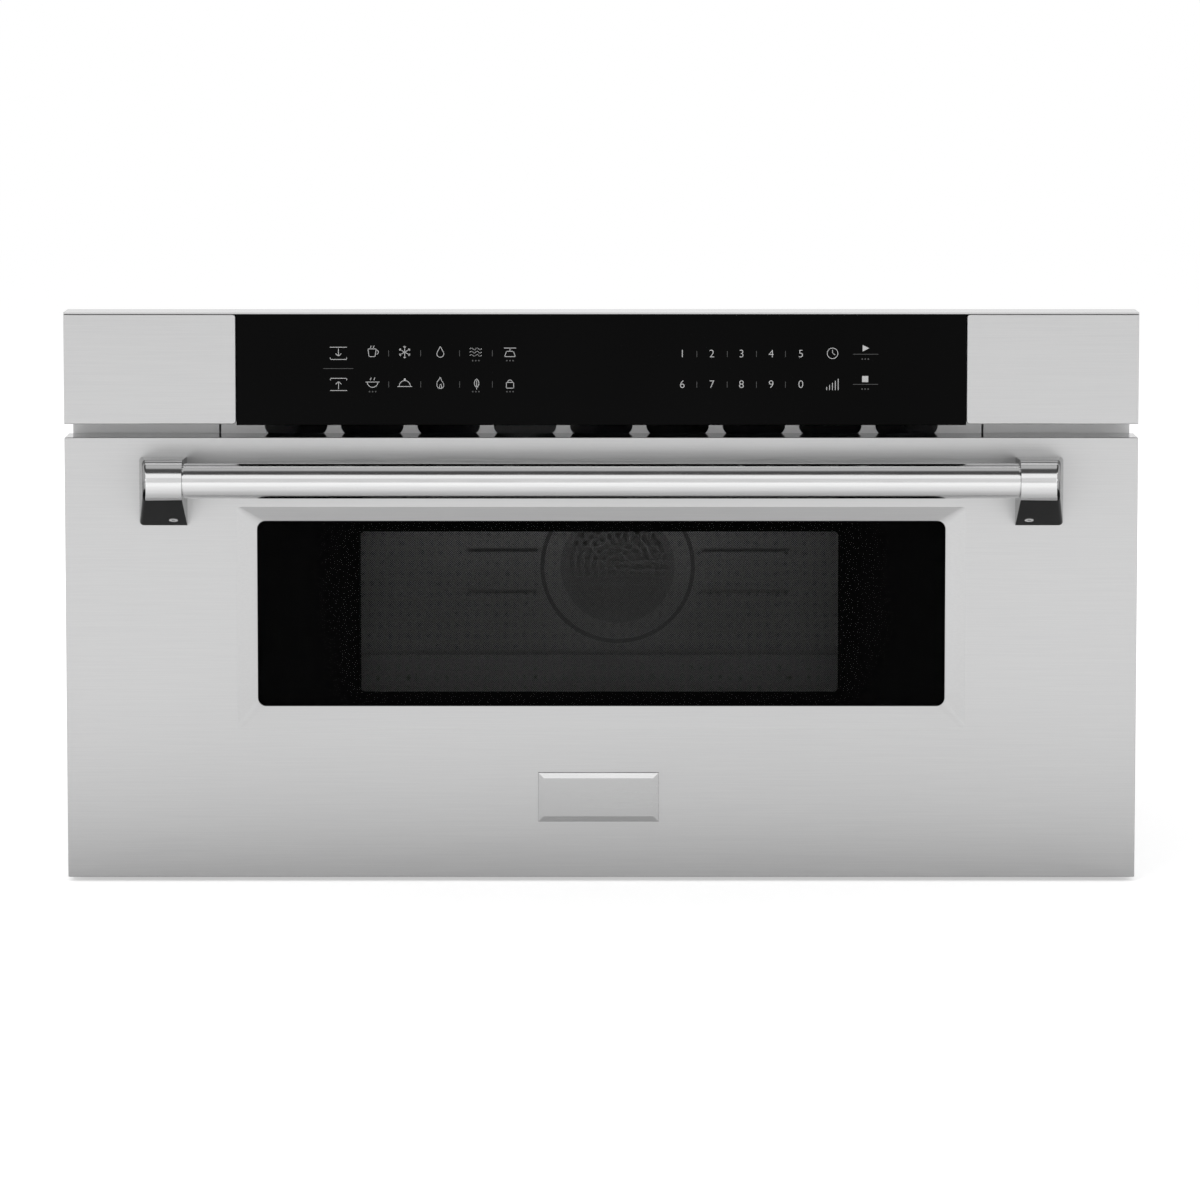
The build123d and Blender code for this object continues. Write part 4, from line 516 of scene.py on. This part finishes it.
def icon_arrow(centre, way):
    """A drawer edge and an arrow out of it (way -1) or into it (way 1)."""
    tail, tip = at(centre, (0, -2.2 * way), (0, 1.4 * way))
    left, right = at(centre, (-1.3, 0.2 * way), (1.3, 0.2 * way))
    ink.line(tail, tip)
    ink.path([left, tip, right])
    ink.path(at(centre, (-4, 2.2 * way), (-4, 3.0 * way), (4, 3.0 * way), (4, 2.2 * way)))
    ink.path(at(centre, (-4, -3.0 * way), (4, -3.0 * way)))


def icon_drop(centre):
    """A drop of water."""
    ink.arc(at(centre, (0, -0.8))[0], 1.7 * UNIT, 160, 380)
    ink.path(at(centre, (-1.6, -0.2), (0, 2.8), (1.6, -0.2)))


def icon_cup(centre):
    """A cup with two wisps of steam."""
    ink.path(at(centre, (-2.2, 1.6), (-1.7, -2.2), (1.3, -2.2), (1.8, 1.6), (-2.2, 1.6)))
    ink.arc(at(centre, (1.9, 0.0))[0], 1.0 * UNIT, -80, 80)
    ink.path(at(centre, (-1.0, 2.2), (-0.6, 3.0)))
    ink.path(at(centre, (0.4, 2.2), (0.8, 3.0)))


def icon_flake(centre):
    """A snowflake of three crossed arms."""
    for turn in range(3):
        angle = radians(30 + 60 * turn)
        dx, dz = 2.9 * cos(angle), 2.9 * sin(angle)
        ink.line(*at(centre, (-dx, -dz), (dx, dz)))
        for end in (-1, 1):
            for side in (-1, 1):
                tip = angle + radians(35) * side
                inner = (end * (dx - 0.95 * cos(angle)), end * (dz - 0.95 * sin(angle)))
                outer = (inner[0] + end * 0.9 * cos(tip), inner[1] + end * 0.9 * sin(tip))
                ink.line(*at(centre, inner, outer), width=THIN_STROKE)


def icon_clock(centre):
    """A clock face."""
    ink.arc(centre, 2.6 * UNIT, 0, 360, steps=28)
    ink.path(at(centre, (0, 1.6), (0, 0), (1.2, -0.7)))


def icon_waves(centre):
    """Three rows of heat waves."""
    for row in (-1.6, 0, 1.6):
        wave = [(-2.8 + 0.4 * step, row + 0.45 * sin(0.4 * step * pi / 1.4)) for step in range(15)]
        ink.path(at(centre, *wave), STROKE * 0.9)


def icon_bowl(centre):
    """A steaming bowl."""
    ink.arc(at(centre, (0, 0.6))[0], 2.6 * UNIT, 180, 360)
    ink.line(*at(centre, (-3.2, 0.6), (3.2, 0.6)))
    ink.line(*at(centre, (-1.1, 1.6), (-0.7, 2.7)))
    ink.line(*at(centre, (0.7, 1.6), (1.1, 2.7)))


def icon_cover(centre):
    """A serving cover with its knob."""
    ink.arc(at(centre, (0, -1.4))[0], 2.7 * UNIT, 0, 180)
    ink.line(*at(centre, (-3.4, -1.6), (3.4, -1.6)))
    ink.disc(at(centre, (0, 1.9))[0], 0.5 * UNIT)


def icon_flame(centre):
    """A flame."""
    left_side = [(0, 3.0), (-1.7, 0.4), (-1.7, -1.4), (-0.8, -2.6)]
    right_side = [(0.8, -2.6), (1.7, -1.4), (1.5, 0.2), (0.7, 1.0), (0, 3.0)]
    ink.path(at(centre, *left_side, *right_side))
    ink.path(at(centre, (-0.5, -2.4), (-0.4, -1.0), (0.4, -0.4), (0.6, -2.4)))


def icon_leaf(centre):
    """A leaf."""
    ink.arc(at(centre, (-1.1, 0))[0], 2.6 * UNIT, -55, 55)
    ink.arc(at(centre, (1.9, 0))[0], 2.6 * UNIT, 125, 235)
    ink.line(*at(centre, (0.4, -2.9), (0.4, 1.2)))


def icon_scale(centre):
    """A kitchen scale."""
    ink.path(at(centre, (-2.6, -2.2), (2.6, -2.2), (1.7, 0.4), (-1.7, 0.4), (-2.6, -2.2)))
    ink.line(*at(centre, (-2.8, 2.0), (2.8, 2.0)))
    ink.line(*at(centre, (0, 0.4), (0, 2.0)))


def icon_bars(centre):
    """Five bars of rising power."""
    for index, height in enumerate((1.2, 2.2, 3.2, 4.2, 5.2)):
        x = -2.8 + 1.4 * index
        ink.line(*at(centre, (x, -2.6), (x, -2.6 + height)), width=STROKE * 1.2)


def icon_lock(centre):
    """A padlock."""
    ink.path(at(centre, (-1.8, -2.4), (1.8, -2.4), (1.8, 0.4), (-1.8, 0.4), (-1.8, -2.4)))
    ink.arc(at(centre, (0, 0.5))[0], 1.1 * UNIT, 0, 180)


def small_dots(centre, count):
    """A short row of dots under a key, in place of its second line."""
    for index in range(count):
        dim_ink.disc(at(centre, (1.5 * (index - (count - 1) / 2), 0))[0], 0.36 * UNIT)


# Columns and rows of the photograph, in pixels.
ROW_ONE, ROW_TWO = 353.7, 384.8
DIGIT_ROWS = (354.4, 385.0)
DOTS_ROW_ONE, DOTS_ROW_TWO = 361.0, 392.0
ICON_LIFT_PX, DIVIDER_HALF_PX = 1.2, 2.8
DRAWER_KEY_PX, CLOCK_KEY_PX, START_KEY_PX = 339.4, 831.7, 864.3
DRAWER_DIVIDER_PX, DRAWER_DIVIDER_ROW = (324.5, 353.9), 368.9
ICON_DIVIDERS_PX = (389.4, 421.3, 460.1, 492.7)
DIGIT_COLUMNS_PX = (682.0, 711.4, 741.0, 770.6, 800.2)
DIGIT_DIVIDERS_PX = (696.5, 726.8, 755.9, 784.8)
START_DIVIDER_PX = (852.3, 877.1)
START_ROW, START_DIVIDER_ROW, START_DOTS_ROW = 348.6, 354.6, 359.4
STOP_ROW, STOP_DIVIDER_ROW, STOP_DOTS_ROW = 379.4, 384.7, 389.4


def key(px, row_px):
    """The place of a key's mark from its column and row in the photograph."""
    return photo_x(px), photo_z(row_px)


def level_divider(start_px, end_px, row_px):
    """A thin level line between two columns."""
    dim_ink.line(key(start_px, row_px), key(end_px, row_px), THIN_STROKE)


def upright_dividers(columns_px, rows_px):
    """Short upright lines between neighbouring keys."""
    for column in columns_px:
        for row in rows_px:
            dim_ink.line(
                key(column, row - DIVIDER_HALF_PX), key(column, row + DIVIDER_HALF_PX), THIN_STROKE
            )


icon_arrow(key(DRAWER_KEY_PX, ROW_ONE), -1)
icon_arrow(key(DRAWER_KEY_PX, ROW_TWO), 1)
level_divider(*DRAWER_DIVIDER_PX, DRAWER_DIVIDER_ROW)
# Column, icon of the upper key, icon of the lower key, and the dots under each.
left_keys = (
    (373.3, icon_cup, icon_bowl, 0, 3),
    (405.4, icon_flake, icon_cover, 0, 0),
    (440.9, icon_drop, icon_flame, 0, 0),
    (476.2, icon_waves, icon_leaf, 3, 3),
    (510.3, icon_scale, icon_lock, 3, 3),
)
for column, upper, lower, upper_dots, lower_dots in left_keys:
    upper(key(column, ROW_ONE - ICON_LIFT_PX))
    lower(key(column, ROW_TWO - ICON_LIFT_PX))
    small_dots(key(column, DOTS_ROW_ONE), upper_dots)
    small_dots(key(column, DOTS_ROW_TWO), lower_dots)
upright_dividers(ICON_DIVIDERS_PX, (ROW_ONE, ROW_TWO))
upright_dividers(DIGIT_DIVIDERS_PX, DIGIT_ROWS)

icon_clock(key(CLOCK_KEY_PX, ROW_ONE))
icon_bars(key(CLOCK_KEY_PX, ROW_TWO))
# The start triangle and the stop square, each with a line and dots under it.
ink.polygon(at(key(START_KEY_PX, START_ROW), (-1.3, -1.6), (1.9, 0), (-1.3, 1.6)))
level_divider(*START_DIVIDER_PX, START_DIVIDER_ROW)
small_dots(key(START_KEY_PX, START_DOTS_ROW), 3)
ink.polygon(at(key(START_KEY_PX, STOP_ROW), (-1.5, -1.5), (1.5, -1.5), (1.5, 1.5), (-1.5, 1.5)))
level_divider(*START_DIVIDER_PX, STOP_DIVIDER_ROW)
small_dots(key(START_KEY_PX, STOP_DOTS_ROW), 3)
ink.piece("key_marks", materials["print_white"], "chassis", "control_glass")
dim_ink.piece("key_dividers", materials["print_dim"], "chassis", "control_glass")

# ---- Plain digits on the number keys -----------------------------------------------------------
DIGIT_HEIGHT_PX = 7.8
DIGIT_HEIGHT = DIGIT_HEIGHT_PX * METRES_PER_PX
FONT_CAP_SHARE = 0.70
DIGIT_THINNING = 0.00011
for row, digits in zip(DIGIT_ROWS, ("12345", "67890")):
    for column, digit in zip(DIGIT_COLUMNS_PX, digits):
        curve = bpy.data.curves.new(f"digit_{digit}", "FONT")
        curve.body = digit
        curve.size = DIGIT_HEIGHT / FONT_CAP_SHARE
        curve.offset = -DIGIT_THINNING
        curve.align_x = "CENTER"
        curve.align_y = "CENTER"
        holder = bpy.data.objects.new(f"digit_{digit}_curve", curve)
        flat = bpy.data.meshes.new_from_object(holder)
        bpy.data.objects.remove(holder)
        x, z = key(column, row)
        points = [(v.co.x + x, PRINT_Y, v.co.y + z) for v in flat.vertices]
        faces = [tuple(face.vertices) for face in flat.polygons]
        bpy.data.meshes.remove(flat)
        add_mesh(f"digit_{digit}", points, faces, materials["print_white"], "chassis")

# ---- Black print round the window's clear part -------------------------------------------------
CLEAR_LEFT_PX, CLEAR_RIGHT_PX, CLEAR_TOP_PX, CLEAR_BOTTOM_PX = 360.5, 838.5, 533.5, 695.0
CLEAR_LOW = (photo_x(CLEAR_LEFT_PX), photo_z(CLEAR_BOTTOM_PX))
CLEAR_HIGH = (photo_x(CLEAR_RIGHT_PX), photo_z(CLEAR_TOP_PX))
BORDER_DEPTH, BORDER_INSET = 0.00005, 0.001
BORDER_RADIUS, CLEAR_RADIUS = 0.004, 0.003
BORDER_Y = window_high.y - BORDER_DEPTH
BORDER_LOW = (window_low.x + BORDER_INSET, window_low.z + BORDER_INSET)
BORDER_HIGH = (window_high.x - BORDER_INSET, window_high.z - BORDER_INSET)


def ring_faces(count):
    """Quads between an outer loop and an inner loop of count points each."""
    return [(i, (i + 1) % count, count + (i + 1) % count, count + i) for i in range(count)]


def rounded(low, high, radius, steps=8):
    """The corner points of a rounded rectangle, anticlockwise."""
    corners = ((high[0], low[1], -90), (high[0], high[1], 0), (low[0], high[1], 90), (low[0], low[1], 180))
    points = []
    for x, z, start in corners:
        cx = x - radius if x == high[0] else x + radius
        cz = z - radius if z == high[1] else z + radius
        for step in range(steps + 1):
            angle = radians(start + 90 * step / steps)
            points.append((cx + radius * cos(angle), cz + radius * sin(angle)))
    return points


outer = rounded(BORDER_LOW, BORDER_HIGH, BORDER_RADIUS)
inner = rounded(CLEAR_LOW, CLEAR_HIGH, CLEAR_RADIUS)
border_points = [(x, BORDER_Y, z) for x, z in outer + inner]
border_faces = ring_faces(len(outer))
black_ink = materials["print_black"]
add_mesh("window_border_print", border_points, border_faces, black_ink, "drawer")

# ---- Floor, light and camera -------------------------------------------------------------------
FLOOR_SIZE, FLOOR_DROP = 14.0, 0.0002
floor_mesh = bpy.data.meshes.new("floor")
half = FLOOR_SIZE / 2
floor_mesh.from_pydata(
    [(-half, -half, 0), (half, -half, 0), (half, half, 0), (-half, half, 0)], [], [(0, 1, 2, 3)]
)
floor = bpy.data.objects.new("floor", floor_mesh)
bpy.context.scene.collection.objects.link(floor)
floor.location.z = -FLOOR_DROP

floor_material, floor_tree, floor_shader = new_material("floor")
floor_shader.inputs["Roughness"].default_value = 0.9
floor_shader.inputs["Specular IOR Level"].default_value = 0.0
light_path = floor_tree.nodes.new("ShaderNodeLightPath")
floor_shader.inputs["Emission Color"].default_value = (1, 1, 1, 1)
# Seen directly the floor is the white background. Mirrored, its glow and its own grey dim towards the
# object's front, each over its own reach: painted shade that only reflections show.
FLOOR_SHOWN, FLOOR_MIRRORED, FLOOR_NEAR = 0.46, 0.32, 0.09
FLOOR_GREY, FLOOR_NEAR_DIM, GLOW_REACH, DIM_REACH = 0.86, 0.30, 0.9, 0.30
forward = math_node(floor_tree, "MULTIPLY", object_axis(floor_tree, "Y"), -1.0)
near_reach = step_up(floor_tree, forward, -FRONT_Y, -FRONT_Y + GLOW_REACH)
dim_reach = step_up(floor_tree, forward, -FRONT_Y, -FRONT_Y + DIM_REACH)
mirrored_glow = math_node(
    floor_tree, "ADD", math_node(floor_tree, "MULTIPLY", near_reach, FLOOR_MIRRORED - FLOOR_NEAR), FLOOR_NEAR
)
mirror_rays = math_node(
    floor_tree, "MAXIMUM", light_path.outputs["Is Glossy Ray"], light_path.outputs["Is Transmission Ray"]
)
glow = math_node(
    floor_tree,
    "ADD",
    math_node(floor_tree, "MULTIPLY", light_path.outputs["Is Camera Ray"], FLOOR_SHOWN),
    math_node(floor_tree, "MULTIPLY", mirror_rays, mirrored_glow, clamp=True),
)
floor_tree.links.new(glow, floor_shader.inputs["Emission Strength"])
# Painted shade: the floor's grey dims near the object's front, for glossy rays only.
near_dim = math_node(
    floor_tree,
    "MULTIPLY",
    math_node(floor_tree, "SUBTRACT", 1.0, dim_reach),
    math_node(floor_tree, "MULTIPLY", light_path.outputs["Is Glossy Ray"], FLOOR_NEAR_DIM),
)
floor_grey = math_node(floor_tree, "MULTIPLY", math_node(floor_tree, "SUBTRACT", 1.0, near_dim), FLOOR_GREY)
floor_tree.links.new(floor_grey, floor_shader.inputs["Base Color"])
floor_mesh.materials.append(floor_material)

# The studio is white all round, with a dark ceiling panel over the front that only metal and glass mirror.
world = bpy.data.worlds.new("studio")
bpy.context.scene.world = world
world.use_nodes = True
tree = world.node_tree
tree.nodes.clear()
world_output = tree.nodes.new("ShaderNodeOutputWorld")
soft = tree.nodes.new("ShaderNodeBackground")
soft.inputs["Color"].default_value = (1, 1, 1, 1)
soft.inputs["Strength"].default_value = 0.62
shown = tree.nodes.new("ShaderNodeBackground")
shown.inputs["Color"].default_value = (1, 1, 1, 1)
path = tree.nodes.new("ShaderNodeLightPath")
seen = math_node(tree, "MAXIMUM", path.outputs["Is Camera Ray"], path.outputs["Is Transmission Ray"])
mirrored = math_node(tree, "MAXIMUM", seen, path.outputs["Is Glossy Ray"])
way = tree.nodes.new("ShaderNodeTexCoord")
split = tree.nodes.new("ShaderNodeSeparateXYZ")
tree.links.new(way.outputs["Generated"], split.inputs["Vector"])
PANEL_START, PANEL_END, ZENITH_START, ZENITH_END = 0.68, 0.76, 0.94, 0.99
PANEL_DIM, ZENITH_DIM = 0.93, 0.52
AHEAD_START, AHEAD_END = -0.36, -0.25
rise = step_up(tree, split.outputs["Z"], PANEL_START, PANEL_END)
relief = step_up(tree, split.outputs["Z"], ZENITH_START, ZENITH_END)
ahead = step_up(tree, math_node(tree, "MULTIPLY", split.outputs["Y"], -1.0), AHEAD_START, AHEAD_END)
dim = math_node(
    tree,
    "SUBTRACT",
    math_node(tree, "MULTIPLY", rise, PANEL_DIM),
    math_node(tree, "MULTIPLY", relief, PANEL_DIM - ZENITH_DIM),
)
# The dark side of the room, low and straight ahead of the front, dims the middle of the brushed steel.
ROOM_EDGE, ROOM_FADE, ROOM_DIM = 0.06, 0.22, 0.30
ROOM_TOP, ROOM_TOP_FADE = 0.30, 0.45
beside = step_up(tree, math_node(tree, "ABSOLUTE", split.outputs["X"]), ROOM_EDGE, ROOM_FADE)
above = step_up(tree, split.outputs["Z"], ROOM_TOP, ROOM_TOP_FADE)
outside = math_node(tree, "MAXIMUM", beside, above)
room = math_node(tree, "MULTIPLY", math_node(tree, "SUBTRACT", 1.0, outside), ROOM_DIM)
room_ahead = math_node(tree, "MULTIPLY", room, math_node(tree, "LESS_THAN", split.outputs["Y"], 0.0))
dimmed = math_node(tree, "MAXIMUM", math_node(tree, "MULTIPLY", dim, ahead), room_ahead)
dark = math_node(tree, "MULTIPLY", dimmed, path.outputs["Is Glossy Ray"])
strength = math_node(tree, "SUBTRACT", 1.0, dark)
tree.links.new(strength, shown.inputs["Strength"])
choose = tree.nodes.new("ShaderNodeMixShader")
tree.links.new(mirrored, choose.inputs["Fac"])
tree.links.new(soft.outputs["Background"], choose.inputs[1])
tree.links.new(shown.outputs["Background"], choose.inputs[2])
tree.links.new(choose.outputs["Shader"], world_output.inputs["Surface"])


def soft_box(name, place, target, width, height, power):
    """A large area lamp aimed at a point."""
    data = bpy.data.lights.new(name, "AREA")
    data.shape = "RECTANGLE"
    data.size = width
    data.size_y = height
    data.energy = power
    lamp = bpy.data.objects.new(name, data)
    bpy.context.scene.collection.objects.link(lamp)
    lamp.location = place
    aim = Vector(target) - Vector(place)
    lamp.rotation_euler = aim.to_track_quat("-Z", "Y").to_euler()
    lamp.visible_glossy = False
    return lamp


CENTRE = Vector((0, 0, FRONT_TOP / 2))
soft_box("key_light", (-1.6, -2.6, 2.4), CENTRE, 2.4, 1.6, 26)
soft_box("fill_light", (2.2, -2.4, 1.6), CENTRE, 2.0, 1.6, 12)
soft_box("back_light", (0.0, 2.8, 2.4), CENTRE, 3.0, 1.6, 24)

CAMERA_DISTANCE = 4.0
CAMERA_RISE = radians(7.0)
CAMERA_SHIFT = -0.13
FOCAL_PX = (PHOTO_WIDTH_PX / FRONT_WIDTH) * CAMERA_DISTANCE
SENSOR = 36.0
camera_data = bpy.data.cameras.new("camera")
camera_data.sensor_width = SENSOR
camera_data.lens = SENSOR * FOCAL_PX / IMAGE_PX
camera_data.shift_y = CAMERA_SHIFT
camera_data.clip_end = 50
camera = bpy.data.objects.new("camera", camera_data)
bpy.context.scene.collection.objects.link(camera)
front_middle = Vector((0, FRONT_Y, (FRONT_TOP + panel_low.z) / 2))
camera.location = front_middle + CAMERA_DISTANCE * Vector((0, -cos(CAMERA_RISE), sin(CAMERA_RISE)))
FRONT_MIDDLE_PX = 596.0
below_axis = (FRONT_MIDDLE_PX - IMAGE_PX / 2) / FOCAL_PX - CAMERA_SHIFT * IMAGE_PX / FOCAL_PX
tilt = CAMERA_RISE - atan(below_axis)
camera.rotation_euler = (pi / 2 - tilt, 0, 0)
camera.location.x = (IMAGE_PX / 2 - PHOTO_CENTRE_PX) * METRES_PER_PX
bpy.context.scene.camera = camera

bpy.context.scene.view_settings.view_transform = "Standard"
